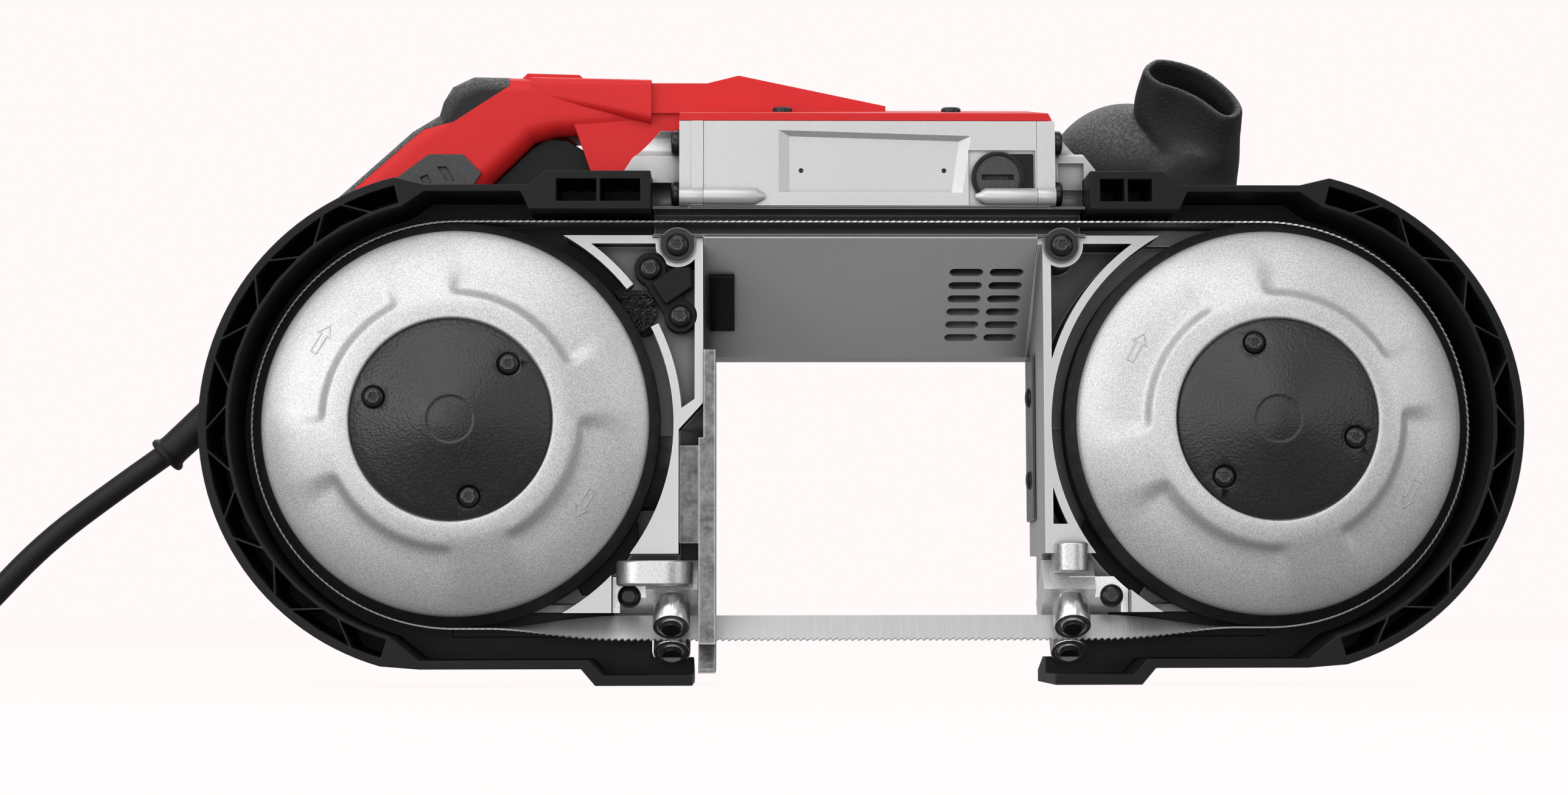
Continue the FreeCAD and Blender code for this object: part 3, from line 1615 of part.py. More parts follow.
def roof_section():
    lift = seat_gap
    return [
        (housing_front, housing_front_top + lift),
        (housing_front, housing_front_top + roof_thick),
        (housing_roof_front, housing_roof + roof_thick),
        (housing_roof_rear, housing_roof + roof_thick),
        (housing_rear, housing_rear_top + roof_thick),
        (housing_rear, housing_rear_top + lift),
        (housing_roof_rear, housing_roof + lift),
        (housing_roof_front, housing_roof + lift),
    ]


def handle_body():
    """Roof over the motor, ridge, beam, grip and foot, before it is split into two halves."""
    top = housing_roof + roof_thick + overrun
    end = plate([
        (roof_right, housing_front_top),
        (roof_right - roof_end_run, top),
        (roof_right + overrun, top),
        (roof_right + overrun, housing_front_top),
    ], -clear_depth, clear_depth)
    roof = bar(roof_section(), roof_left, roof_right).cut(end)
    under = housing_roof + seat_gap
    ridge = plate([
        (ridge_left, under),
        (ridge_left, ridge_dip),
        (ridge_dip_x, ridge_dip),
        (ridge_peak_x, ridge_peak),
        (ridge_end_x, housing_roof + roof_thick),
        (ridge_end_x, under),
    ], motor_depth - ridge_half_width, motor_depth + ridge_half_width)
    end_x = handle_point(grip_shares[-2][1])[0]
    foot = block(end_x - grip_round, handle_boss_left - seat_gap, handle_boss_front, handle_boss_rear,
                 handle_boss_low,
                 handle_boss_high)
    return join([roof, ridge, grip_body(), beam_body(), cheek_body(), foot])


def strain_room(grow):
    """The strain relief's base inside the end of the grip."""
    way = relief_way()
    base = point(relief_base_x, motor_depth, relief_base_z)
    return Part.makeCylinder(relief_radius + grow, relief_length, base, way)


def relief_way():
    slope = math.radians(relief_slope)
    return direction(-math.cos(slope), 0, -math.sin(slope))


def handle_pieces():
    """Returns the two red halves, the rubber overmould and the two side panels."""
    body = handle_body()
    body = cut_all(body, trigger_room() + [switch_room(fit_gap), strain_room(fit_gap)])
    body = cut_all(body,
                   [cover_screw_way(x, fit_gap, overrun) for x in (cover_screw_first, cover_screw_second)])
    band = overmould_band()
    rubber = body.common(band)
    red = body.cut(band)
    panels = [side_panel(side) for side in (-1, 1)]
    red = red.cut(panels)
    rubber = rubber.cut(panels)
    front = red.common(block(-clear_depth, clear_depth, -clear_depth, motor_depth - split_gap / 2,
                             -clear_depth, clear_depth))
    rear = red.common(block(-clear_depth, clear_depth, motor_depth + split_gap / 2, clear_depth,
                            -clear_depth, clear_depth))
    return front, rear, rubber, Part.makeCompound(panels)


def side_panel(side):
    """A six-sided dark insert with two slots, let into the side of the grip."""
    face = motor_depth + side * grip_half_width
    low, high = sorted((face + side * panel_proud, face - side * panel_thick))
    insert = plate([handle_point(shares) for shares in panel_shares], low, high)
    low, high = sorted((face + side * (panel_proud + overrun), face))
    return cut_all(insert,
                   [plate([handle_point(shares) for shares in slot], low, high) for slot in slot_shares])


def round_head(base, way, radius, height, rounding):
    """A screw head that stands on its seat and is rounded at the outer edge."""
    head = Part.makeCylinder(radius, height, base, way)
    edge = max(head.Edges, key=lambda rim: rim.CenterOfMass.dot(way))
    return head.makeFillet(rounding, [edge])


def roof_normal():
    angle = math.atan(roof_slope)
    return direction(0, -math.sin(angle), math.cos(angle))


def cover_screw_seat(x):
    z = housing_front_top + roof_thick + roof_slope * (cover_screw_depth - housing_front)
    return point(x, cover_screw_depth, z)


def cover_screw_way(x, grow, rise):
    """The shank of a roof screw, square to the slope; grow and rise widen and lengthen it for a hole."""
    base = cover_screw_seat(x) + roof_normal() * rise
    return Part.makeCylinder(cover_screw_shank + grow, cover_screw_length + rise + grow, base,
                             -roof_normal())


def handle_screws():
    """Dome-headed screws that hold the roof, square to its front slope."""
    solids = []
    for x in (cover_screw_first, cover_screw_second):
        head = round_head(cover_screw_seat(x), roof_normal(), cover_screw_radius, cover_screw_height,
                          cover_screw_round)
        solids.append(head.fuse(cover_screw_way(x, 0, 0)).removeSplitter())
    return Part.makeCompound(solids)


# Front handle

# Each row is one section of the horn: X, depth and height of its centre, then its half length and half width,
# as shares of the horn's length, depth and height
horn_shares = [
    (0.60, 0.62, 0.00, 0.390, 0.400),
    (0.62, 0.60, 0.24, 0.385, 0.385),
    (0.66, 0.50, 0.48, 0.355, 0.330),
    (0.69, 0.34, 0.67, 0.335, 0.235),
    (0.70, 0.17, 0.765, 0.325, 0.175),
]
horn_tilts = [0.0, 5.0, 22.0, 42.0, 54.0]
horn_rolls = [0.0, 4.0, 14.0, 24.0, 28.0]


def horn_section(row, tilt, roll, inset, lift):
    """A bean-shaped ring across the horn, tipped forwards by the tilt and down to the right by the roll."""
    length = horn_right - horn_left
    depth = horn_rear - horn_front
    height = horn_top - horn_low
    centre = point(horn_left + length * row[0], horn_front + depth * row[1], horn_low + height * row[2])
    long_half = length * row[3] - inset
    wide_half = depth * row[4] - inset
    lean = math.radians(roll)
    tip = math.radians(tilt)
    along = direction(math.cos(lean), 0, -math.sin(lean))
    across = direction(0, math.cos(tip), 0) + direction(math.sin(lean), 0, math.cos(lean)) * math.sin(tip)
    centre += along.cross(across) * lift
    ring = []
    count = 12
    pinch = 0.16
    for i in range(count):
        angle = 2 * math.pi * i / count + math.pi / 2
        reach = math.sin(angle)
        if reach < 0:
            reach *= 1 - pinch * (1 - abs(math.cos(angle)))
        ring.append(centre + along * (long_half * math.cos(angle)) + across * (wide_half * reach))
    curve = Part.BSplineCurve()
    curve.interpolate(ring, PeriodicFlag=True)
    return Part.Wire([curve.toShape()])


def horn_base():
    """The rounded bulge that the horn grows out of, flat below."""
    centre = point(horn_base_x, horn_base_depth, horn_base_z)
    dome = Part.makeSphere(horn_base_radius, centre)
    floor = block(-clear_depth, clear_depth, -clear_depth, clear_depth, -clear_depth, horn_low)
    behind = block(-clear_depth, clear_depth, horn_rear, clear_depth, -clear_depth, clear_depth)
    ahead = block(-clear_depth, clear_depth, -clear_depth, guard_clear, -clear_depth, clear_depth)
    return cut_all(dome, [floor, behind, ahead])


def front_handle():
    """A hollow rubber horn that rises from the frame and opens forwards and up."""
    rows = list(zip(horn_shares, horn_tilts, horn_rolls))
    outer = Part.makeLoft([horn_section(*row, 0, 0) for row in rows], True, False)
    rings = [horn_section(*row, horn_wall, 0) for row in rows[2:-1]]
    rings.append(horn_section(*rows[-1], horn_wall, overrun))
    hollow = Part.makeLoft(rings, True, False)
    corner = plate([
        (bracket_end_x + seat_gap, horn_low - overrun),
        *[(x + seat_gap, z + seat_gap) for x, z in reversed(bracket_outline()[1:-1])],
        (horn_left - clear_depth, bracket_top_z + seat_gap),
        (horn_left - clear_depth, horn_low - overrun),
    ], -clear_depth, clear_depth)
    return join([outer, horn_base()]).cut([hollow, corner])


# Wheel guards

def guard(x, side, block_end, block_start, foot_end, foot_start):
    """A moulded guard round one wheel; side is the sign of X that points away from the throat."""

    def rim_point(radius, angle):
        px, pz = polar(0, wheel_height, radius, angle)
        return x - side * px, pz

    def rim_arc(radius, first, last):
        start = rim_point(radius, first)
        middle = rim_point(radius, (first + last) / 2)
        end = rim_point(radius, last)
        return Part.Arc(point(start[0], guard_front, start[1]), point(middle[0], guard_front, middle[1]),
                        point(end[0], guard_front, end[1])).toShape()

    def closed(arc, corners):
        edges = [arc]
        last = arc.Vertexes[-1].Point
        first = arc.Vertexes[0].Point
        for cx, cz in corners:
            here = point(cx, guard_front, cz)
            edges.append(Part.LineSegment(last, here).toShape())
            last = here
        edges.append(Part.LineSegment(last, first).toShape())
        return Part.Face(Part.Wire(edges))

    inward = -side
    inner_radius = guard_radius - guard_ring
    ramp = inward * guard_ramp
    foot_ramp = inward * guard_foot_ramp
    wall = inward * guard_outer_wall
    outer = closed(rim_arc(guard_radius, guard_top_angle, guard_low_angle), [
        (x + side * guard_ring, guard_low),
        (foot_start - foot_ramp, guard_low),
        (foot_start, 0),
        (foot_end, 0),
        (foot_end, guard_block_top),
        (block_start, guard_block_top),
        (block_start - ramp, guard_top),
        (x + side * guard_ring, guard_top),
    ])
    inner = closed(rim_arc(inner_radius, guard_top_angle, guard_low_angle), [
        (x + side * guard_ring, guard_low + guard_low_wall),
        (foot_start - foot_ramp + wall, guard_low + guard_low_wall),
        (foot_start + wall, guard_foot_wall),
        (foot_end + inward * overrun, guard_foot_wall),
        (foot_end + inward * overrun, guard_block_low),
        (block_start - ramp, guard_block_low),
        (block_start - ramp - wall, guard_top - guard_top_wall),
        (x + side * guard_ring, guard_top - guard_top_wall),
    ])
    depth = guard_back - guard_front
    shell = outer.extrude(direction(0, depth, 0))
    room = inner.extrude(direction(0, depth - guard_back_wall, 0))
    ends = sorted((foot_start, foot_end))
    shoe = bar([(guard_back - guard_back_wall, 0), (guard_shoe_rear, 0), (guard_shoe_rear, guard_shoe_edge),
                (guard_back - guard_back_wall, guard_shoe_root)], ends[0], ends[1])
    body = join([shell.cut(room), shoe])
    trim = sorted((block_end, block_end + inward * clear_depth))
    cuts = [block(trim[0], trim[1], -clear_depth, clear_depth, guard_foot_wall + guard_low, clear_depth)]
    cuts.append(rod_y(x, wheel_height, guard_back_bore, guard_front, clear_depth))
    gap = sorted((x, block_end + inward * clear_depth))
    cuts.append(block(gap[0], gap[1], guard_back - 2 * guard_back_wall, clear_depth,
                      frame_low - stop_corner,
                      guard_block_low - rib_wall))
    cuts += guard_pocket_cuts(rim_point)
    cuts += block_pocket_cuts(block_start, block_end, inward)
    return cut_all(body, cuts)


def guard_pocket_cuts(rim_point):
    """Pockets between the guard's two walls, parted by zig-zag ribs."""
    outer = guard_radius - guard_outer_wall
    inner = guard_radius - guard_ring + guard_inner_wall
    step = (guard_low_angle - guard_top_angle) / guard_pockets
    lean = step / 4
    half = math.degrees(guard_rib / 2 / guard_radius)
    cuts = []
    for i in range(guard_pockets):
        first = guard_top_angle + step * i + half
        last = guard_top_angle + step * (i + 1) - half
        swing = lean if i % 2 == 0 else -lean
        first_outer = first - swing if i > 0 else first
        first_inner = first + swing if i > 0 else first
        last_outer = last + swing if i < guard_pockets - 1 else last
        last_inner = last - swing if i < guard_pockets - 1 else last
        outline = []
        shares = (0.0, 0.5, 1.0)
        for share in shares:
            outline.append(rim_point(outer, first_outer + (last_outer - first_outer) * share))
        for share in reversed(shares):
            outline.append(rim_point(inner, first_inner + (last_inner - first_inner) * share))
        cuts.append(plate(outline, guard_front - overrun, guard_front + guard_pocket_depth))
    return cuts


def block_pocket_cuts(block_start, block_end, inward):
    """The pockets in the raised block at the throat end of a guard's top."""
    low = guard_block_low + guard_outer_wall
    high = guard_block_top - guard_outer_wall
    first = block_start + inward * guard_outer_wall
    last = block_end - inward * guard_outer_wall
    length = (last - first) / guard_block_pockets
    cuts = []
    for i in range(guard_block_pockets):
        ends = sorted((first + length * i + inward * guard_rib / 2,
                       first + length * (i + 1) - inward * guard_rib / 2))
        cuts.append(block(ends[0], ends[1], guard_front - overrun, guard_front + guard_pocket_depth, low,
                          high))
    return cuts


# Blade channel

def blade_channel():
    """A steel C-section round the upper blade run, with a screw tab at each end."""
    outer = block(channel_left, channel_right, housing_front, channel_rear, channel_low, channel_high)
    room = block(channel_left - overrun, channel_right + overrun, housing_front - overrun,
                 channel_rear - channel_wall,
                 channel_low + channel_wall, channel_high - channel_wall)
    trims = []
    for start, end in ((channel_left - overrun, channel_left + lip_length),
                       (channel_right - lip_length, channel_right + overrun)):
        trims.append(block(start, end, housing_front - overrun, housing_front + lip_setback,
                           channel_high - overrun,
                           channel_high + overrun))
    tabs = []
    front = frame_front - seat_gap - tab_thick
    for start, end in ((channel_left - overrun, housing_left), (housing_right, channel_right + overrun)):
        trims.append(block(start, end, housing_front - overrun, front, channel_low - overrun,
                           channel_low + channel_wall + overrun))
    for x in (rear_tab_x, front_tab_x):
        drop = tab_screw_z()
        half = tab_width / 2
        tab = block(x - half, x + half, front, front + tab_thick, drop, channel_low + channel_wall)
        end = rod_y(x, drop, half, front, front + tab_thick)
        hole = rod_y(x, drop, screw_shank + fit_gap, front - overrun, front + 2 * tab_thick)
        tabs.append(join([tab, end]).cut(hole))
    return join([cut_all(outer, [room] + trims)] + tabs)


# Screws on the frame

arm_plate_middle = (arm_plate_front + arm_plate_rear) / 2


def tab_screw_z():
    return channel_low - tab_drop


def rear_screw_seats():
    """X, height and seat depth of each screw that goes into the rear casting from the wheel side."""
    tab_seat = frame_front - seat_gap - tab_thick
    return [
        (rear_tab_x, tab_screw_z(), tab_seat),
        (rear_guide_x - guide_half_length - ear_length / 2, ear_screw_z, ear_front),
        (brush_first_x, brush_first_z, brush_body_front),
        (brush_second_x, brush_second_z, brush_body_front),
    ]


def front_screw_seats():
    tab_seat = frame_front - seat_gap - tab_thick
    return [
        (front_tab_x, tab_screw_z(), tab_seat),
        (front_guide_x + guide_half_length + ear_length / 2, ear_screw_z, ear_front),
    ]


def arm_plate_screws():
    third = (arm_plate_high - arm_plate_low) / 4
    return [arm_plate_low + third, arm_plate_high - third]


def screw_y(x, z, seat):
    head = rod_y(x, z, screw_head, seat - screw_head_height, seat)
    shank = rod_y(x, z, screw_shank, seat, seat + screw_length)
    socket = star(x, z, screw_socket, seat - screw_head_height,
                  seat - screw_head_height + screw_socket_depth)
    return head.fuse(shank).removeSplitter().cut(socket)


def frame_screws():
    solids = [screw_y(x, z, seat) for x, z, seat in rear_screw_seats() + front_screw_seats()]
    face = front_arm_face - seat_gap - arm_plate_thick
    for z in arm_plate_screws():
        head = rod_x(arm_plate_middle, z, screw_head, face - screw_head_height / 2, face)
        shank = rod_x(arm_plate_middle, z, screw_shank, face, face + screw_length)
        solids.append(head.fuse(shank).removeSplitter())
    return Part.makeCompound(solids)


def arm_plate():
    face = front_arm_face - seat_gap
    body = block(face - arm_plate_thick, face, arm_plate_front, arm_plate_rear, arm_plate_low,
                 arm_plate_high)
    holes = [rod_x(arm_plate_middle, z, screw_shank + fit_gap, face - 2 * arm_plate_thick, face + overrun)
             for z in arm_plate_screws()]
    return cut_all(body, holes)


def housing_bolts():
    """Flanged bolts that clamp both castings to the motor housing."""
    solids = []
    rear_face = gear_column_right - flange_thick
    front_face = housing_right + seat_gap + front_flange_thick
    for depth, z in bolt_places():
        head = round_head(point(rear_face, depth, z), -X_AXIS, bolt_head, bolt_head_height, bolt_round)
        shank = rod_x(depth, z, bolt_shank, rear_face, rear_face + bolt_length)
        solids.append(head.fuse(shank).removeSplitter())
        head = round_head(point(front_face, depth, z), X_AXIS, bolt_head, bolt_head_height, bolt_round)
        shank = rod_x(depth, z, bolt_shank, front_face - bolt_length, front_face)
        solids.append(head.fuse(shank).removeSplitter())
    return Part.makeCompound(solids)


# Blade

def blade_path(along):
    """Mid-line point, width and face direction of the blade, at a distance from mid lower run."""
    straight = wheel_gap / 2
    half_turn = math.pi * blade_radius
    s = along % blade_length
    wide = direction(0, 1, 0)
    if s < straight or s > blade_length - straight:
        x = -s if s < straight else blade_length - s
        turn = math.radians(blade_twist) * twist_at(x)
        wide = direction(0, math.cos(turn), math.sin(turn))
        return point(x, blade_mid, strand_low), wide, direction(0, math.sin(turn), -math.cos(turn))
    s -= straight
    if s < half_turn:
        angle = -math.pi / 2 - s / blade_radius
        out = direction(math.cos(angle), 0, math.sin(angle))
        return point(rear_wheel_x, blade_mid, wheel_height) + out * blade_radius, wide, out
    s -= half_turn
    if s < wheel_gap:
        return point(rear_wheel_x + s, blade_mid, wheel_height + blade_radius), wide, direction(0, 0, 1)
    s -= wheel_gap
    angle = math.pi / 2 - s / blade_radius
    out = direction(math.cos(angle), 0, math.sin(angle))
    return point(front_wheel_x, blade_mid, wheel_height) + out * blade_radius, wide, out


def twist_at(x):
    """How far the lower run is turned: whole between the guides, none near the wheels."""
    if x < rear_guide_x - guide_half_length:
        share = (x - rear_wheel_x - twist_lead) / twist_run
    elif x > front_guide_x + guide_half_length:
        share = (front_wheel_x - twist_lead - x) / twist_run
    else:
        return 1.0
    share = max(0.0, min(1.0, share))
    return share * share * (3 - 2 * share)


def blade():
    """A toothed band: each tooth is one flat facet of the loop."""
    count = int(round(blade_length / tooth_pitch))
    pitch = blade_length / count
    half_width = blade_width / 2
    half_thick = blade_thick / 2
    rows = []
    for i in range(count):
        for share, edge in ((0.0, tooth_depth), (0.7, 0.0)):
            middle, wide, out = blade_path(pitch * (i + share))
            back = middle + wide * half_width
            front = middle - wide * (half_width - edge)
            rows.append((back + out * half_thick, back - out * half_thick, front - out * half_thick,
                         front + out * half_thick))
    faces = []
    total = len(rows)
    for i in range(total):
        here = rows[i]
        there = rows[(i + 1) % total]
        for a in range(4):
            b = (a + 1) % 4
            corners = [here[a], here[b], there[b], there[a]]
            faces.append(face_of(corners[:3]))
            faces.append(face_of([corners[0], corners[2], corners[3]]))
    shell = Part.makeShell(faces)
    solid = Part.makeSolid(shell)
    if solid.Volume < 0:
        solid.reverse()
    return solid


# Blade guides

def along_width(x, across, near, far, radius):
    """A round bar parallel to the turned blade's width, at a distance across its face."""
    bar_shape = Part.makeCylinder(radius, far - near, point(x, blade_mid + near, strand_low + across),
                                  Y_AXIS)
    bar_shape.rotate(point(x, blade_mid, strand_low), X_AXIS, blade_twist)
    return bar_shape


roller_across = blade_thick / 2 + run_gap + roller_radius


def guide_bracket(x, toward):
    """A cast bracket above the blade's back with an ear for its screw and two roller pins."""
    body = turn_with_blade(x, guide_near, guide_far, -guide_half, guide_half, guide_half_length)
    ends = sorted((x, x + toward * (guide_half_length + ear_length)))
    ear = block(ends[0], ends[1], ear_front, bracket_floor - seat_gap, ear_low, ear_high)
    hole_x = x + toward * (guide_half_length + ear_length / 2)
    clear_blade = turn_with_blade(x, -clear_depth, guide_near, -clear_depth, clear_depth,
                                  2 * guide_half_length)
    wheel_x = front_wheel_x if toward > 0 else rear_wheel_x
    clear_tyre = rod_y(wheel_x, wheel_height, blade_radius + tension_travel + run_gap, -clear_depth,
                       clear_depth)
    ear = ear.cut([clear_blade, clear_tyre])
    pins = []
    for across in (-roller_across, roller_across):
        end = -roller_half_length - run_gap
        pins.append(along_width(x, across, end, guide_far - guide_near, roller_pin))
        pins.append(along_width(x, across, end - pin_head_length, end, pin_head))
        pins.append(along_width(x, across, roller_half_length + run_gap, guide_near, pin_head))
    hole = rod_y(hole_x, ear_screw_z, screw_shank + fit_gap, ear_front - overrun, bracket_floor + overrun)
    return join([body, ear] + pins).cut(hole)


def roller(x, across):
    """A ball-bearing roller with grooved end faces."""
    body = along_width(x, across, -roller_half_length, roller_half_length, roller_radius)
    middle = (roller_radius + roller_pin) / 2
    cuts = [along_width(x, across, -clear_depth, clear_depth, roller_bore)]
    for near, far in ((-roller_half_length - overrun, -roller_half_length + roller_groove),
                      (roller_half_length - roller_groove, roller_half_length + overrun)):
        outer = along_width(x, across, near, far, middle + roller_groove)
        cuts.append(outer.cut(along_width(x, across, near - overrun, far + overrun,
                                          middle - roller_groove)))
    return cut_all(body, cuts)


# Work stop and chip brush

def work_stop():
    """A thick steel plate at the rear of the throat, slotted for the turned blade."""
    left = stop_face - stop_thick
    section = [
        (stop_front, stop_low),
        (stop_rear - stop_corner, stop_low),
        (stop_rear, stop_low + stop_corner),
        (stop_rear, stop_high - stop_corner),
        (stop_rear - stop_corner, stop_high),
        (stop_front, stop_high),
    ]
    body = bar(section, left, stop_face)
    slot = turn_with_blade(left, -clear_depth, blade_mid + stop_slot, -stop_slot, stop_slot, clear_depth)
    arm = block(left - overrun, rear_arm_face + seat_gap, stop_front - overrun, clear_depth,
                rear_arm_step - rib_wall,
                clear_depth)
    pad = block(rear_arm_step_x + seat_gap, left + overrun, stop_pad_front, stop_pad_rear, stop_pad_low,
                stop_pad_high - rib_wall)
    deep = block(left - overrun, rear_arm_face + seat_gap, bracket_floor - seat_gap, clear_depth, 0,
                 clear_depth)
    return join([body.cut([slot, arm, deep]), pad])


def brush_holder_body(grow, front, floor):
    """Two round ends and the link between them, grown by a clearance."""
    discs = [
        rod_y(brush_first_x, brush_first_z, brush_arm_radius + grow, front, floor),
        rod_y(brush_second_x, brush_second_z, brush_arm_radius + grow, front, floor),
    ]
    across_x = brush_second_z - brush_first_z
    across_z = brush_first_x - brush_second_x
    length = math.hypot(across_x, across_z)
    side_x = across_x / length * (brush_body + grow)
    side_z = across_z / length * (brush_body + grow)
    link = plate([
        (brush_first_x + side_x, brush_first_z + side_z),
        (brush_second_x + side_x, brush_second_z + side_z),
        (brush_second_x - side_x, brush_second_z - side_z),
        (brush_first_x - side_x, brush_first_z - side_z),
    ], front, floor)
    return discs + [link]


def chip_brush_holder():
    """A moulded clip on the rear arm that points the bristles at the tyre."""
    front = brush_body_front
    floor = rear_pocket_floor
    holes = [rod_y(x, z, screw_shank + fit_gap, front - overrun, floor + overrun)
             for x, z in ((brush_first_x, brush_first_z), (brush_second_x, brush_second_z))]
    wheel_room = wheel_clear(rear_wheel_x, rib_radius + rib_wall)
    return cut_all(join(brush_holder_body(0, front, floor - seat_gap)), holes + [wheel_room])


def chip_brush_bristles():
    """Tufts that fan out of the holder and end just clear of the tyre."""
    middle_x = (brush_first_x + brush_second_x) / 2
    middle_z = (brush_first_z + brush_second_z) / 2
    aim = math.degrees(math.atan2(middle_z - wheel_height, middle_x - rear_wheel_x))
    start = rib_radius + rib_wall + seat_gap
    root_depth = (brush_body_front + rear_pocket_floor) / 2
    fan_angle = math.degrees(bristle_spread / tyre_radius)
    root_angle = math.degrees(bristle_root / start)
    tufts = []
    for i in range(bristle_count):
        share = 2 * i / (bristle_count - 1) - 1
        tip = polar(rear_wheel_x, wheel_height, tyre_radius + run_gap, aim + fan_angle * share)
        root = polar(rear_wheel_x, wheel_height, start, aim + root_angle * share)
        a = point(tip[0], root_depth, tip[1])
        b = point(root[0], root_depth, root[1])
        tufts.append(Part.makeCone(bristle_thick, bristle_thick / 2, (a - b).Length, b, a - b))
    return Part.makeCompound(tufts)


# Cord, strain relief and plug

def strain_relief():
    """A tapered grooved sleeve that leaves the end of the grip."""
    way = relief_way()
    base = point(relief_base_x, motor_depth, relief_base_z)
    plain = relief_length / 2
    body = Part.makeCylinder(relief_radius, plain, base, way)
    taper = Part.makeCone(relief_radius, relief_tip_radius, relief_length - plain, base + way * plain, way)
    flange = Part.makeCylinder(relief_flange, relief_flange_length,
                               base + way * (relief_length - relief_flange_length), way)
    sleeve = join([body, taper, flange])
    cuts = []
    span = relief_length - relief_flange_length - 2 * relief_groove_width
    for i in range(relief_grooves):
        groove = base + way * (span - 2 * relief_groove_width * i)
        ring = Part.makeCylinder(relief_flange, relief_groove_width, groove, way)
        cuts.append(ring.cut(Part.makeCylinder(relief_tip_radius - relief_groove_depth,
                                               relief_groove_width, groove, way)))
    return cut_all(sleeve, cuts)


cord_start = point(relief_base_x, motor_depth, relief_base_z) + relief_way() * (relief_length + run_gap)

# Points of the cord from the strain relief to the coil, chosen along the photographed run
cord_route = [
    (cord_start.x, motor_depth, cord_start.z),
    (-302.0, 42.0, 73.6),
    (-328.0, 42.0, 51.0),
    (-354.0, 42.5, 30.0),
    (-378.0, 50.0, 14.0),
    (-398.0, 66.0, cord_diameter / 2),
    (-418.0, 86.0, cord_diameter / 2),
]


def cord_edges():
    """Straight runs joined by the largest tangent arcs that the runs allow."""
    points = [point(*place) for place in cord_route]
    edges = []
    last = points[0]
    for i in range(1, len(points) - 1):
        before = (points[i - 1] - points[i]).normalize()
        after = (points[i + 1] - points[i]).normalize()
        turn = math.pi - before.getAngle(after)
        shorter = min((points[i - 1] - points[i]).Length, (points[i + 1] - points[i]).Length)
        reach = 0.45 * shorter
        radius = reach / math.tan(turn / 2)
        start = points[i] + before * reach
        end = points[i] + after * reach
        centre_way = (before + after).normalize()
        centre = points[i] + centre_way * (radius / math.cos(turn / 2))
        middle = centre - centre_way * radius
        print("  cord turn", round(math.degrees(turn), 1), "radius", round(radius, 1))
        edges.append(Part.LineSegment(last, start).toShape())
        edges.append(Part.Arc(start, middle, end).toShape())
        last = end
    edges.append(Part.LineSegment(last, points[-1]).toShape())
    return edges


lead_edges = cord_edges()
lead_length = sum(edge.Length for edge in lead_edges)
coil_mean = (cord_length - lead_length) / (math.pi / 2 * coil_quarters)
coil_radius = coil_mean + coil_pitch * coil_quarters / 16
plug_radius = cord_diameter / 2 + coil_pitch - seat_gap


def coil_place(quarter):
    """Point of the coil after some quarter turns: inwards on the floor, a climb, outwards on top."""
    climb = 2
    inward = coil_quarters / 2 - climb / 2
    reverse = inward + climb / 2
    turned_in = min(quarter, reverse)
    turned_out = max(0, quarter - reverse)
    radius = coil_radius - coil_pitch / 4 * (turned_in - turned_out)
    radius += tail_spread * max(0, quarter - coil_quarters + 1) ** 2
    lift = min(1.0, max(0.0, (quarter - inward) / climb))
    lift = lift * lift * (3 - 2 * lift)
    start = math.radians(coil_start_angle)
    angle = start + math.pi / 2 * quarter
    x = cord_route[-1][0] + radius * math.cos(angle) - coil_radius * math.cos(start)
    depth = cord_route[-1][1] + radius * math.sin(angle) - coil_radius * math.sin(start)
    return point(x, depth, cord_diameter / 2 + coil_pitch * lift)


def coil_way(quarter):
    step = 0.01
    return (coil_place(quarter + step) - coil_place(quarter - step)).normalize()


def coil_edges():
    edges = []
    start = coil_place(0)
    start_angle = math.radians(coil_start_angle)
    way = direction(-math.sin(start_angle), math.cos(start_angle), 0)
    for i in range(1, coil_quarters + 1):
        end = coil_place(i)
        end_way = coil_way(i)
        edges += biarc(start, way, end, end_way)
        start, way = end, end_way
    tail = start + way * cord_diameter
    edges.append(Part.LineSegment(start, tail).toShape())
    return edges, tail, way


def least_gap(edges, diameter):
    """The least clear distance between neighbouring turns, measured on points along the coil."""
    spots = []
    along = 0.0
    for edge in edges:
        parts = 10
        for i in range(parts):
            share = edge.FirstParameter + (edge.LastParameter - edge.FirstParameter) * i / parts
            spots.append((along + edge.Length * i / parts, edge.valueAt(share)))
        along += edge.Length
    least = clear_depth
    for i, (s, a) in enumerate(spots):
        for t, b in spots[i + 1:]:
            if t - s > 4 * diameter:
                least = min(least, (a - b).Length - diameter)
    return least


def plug(tail, way):
    """A moulded round-pin plug with two flat blades, lying beside the coil."""
    side = way.cross(Z_AXIS).normalize()
    neck = Part.makeCone(plug_neck, plug_radius, plug_length / 2, tail, way)
    head = Part.makeCylinder(plug_radius, plug_length / 2, tail + way * (plug_length / 2), way)
    face = tail + way * plug_length
    metal = []
    for sign in (-1, 1):
        prong = Part.makeBox(plug_blade_thick, plug_blade_length, plug_blade_width,
                             FreeCAD.Vector(-plug_blade_thick / 2, 0, -plug_blade_width / 2))
        prong.Placement = FreeCAD.Placement(face + side * (sign * plug_blade_gap / 2),
                                            FreeCAD.Rotation(side, way, Z_AXIS,
                                                             "XYZ")).multiply(prong.Placement)
        metal.append(prong)
    pin_base = face - Z_AXIS * plug_pin_drop
    print("  ground pin", [round(v, 4) for v in pin_base], [round(v, 6) for v in way])
    metal.append(Part.makeCylinder(plug_pin_radius, plug_blade_length, pin_base, way))
    return join([neck, head]), Part.makeCompound(metal)


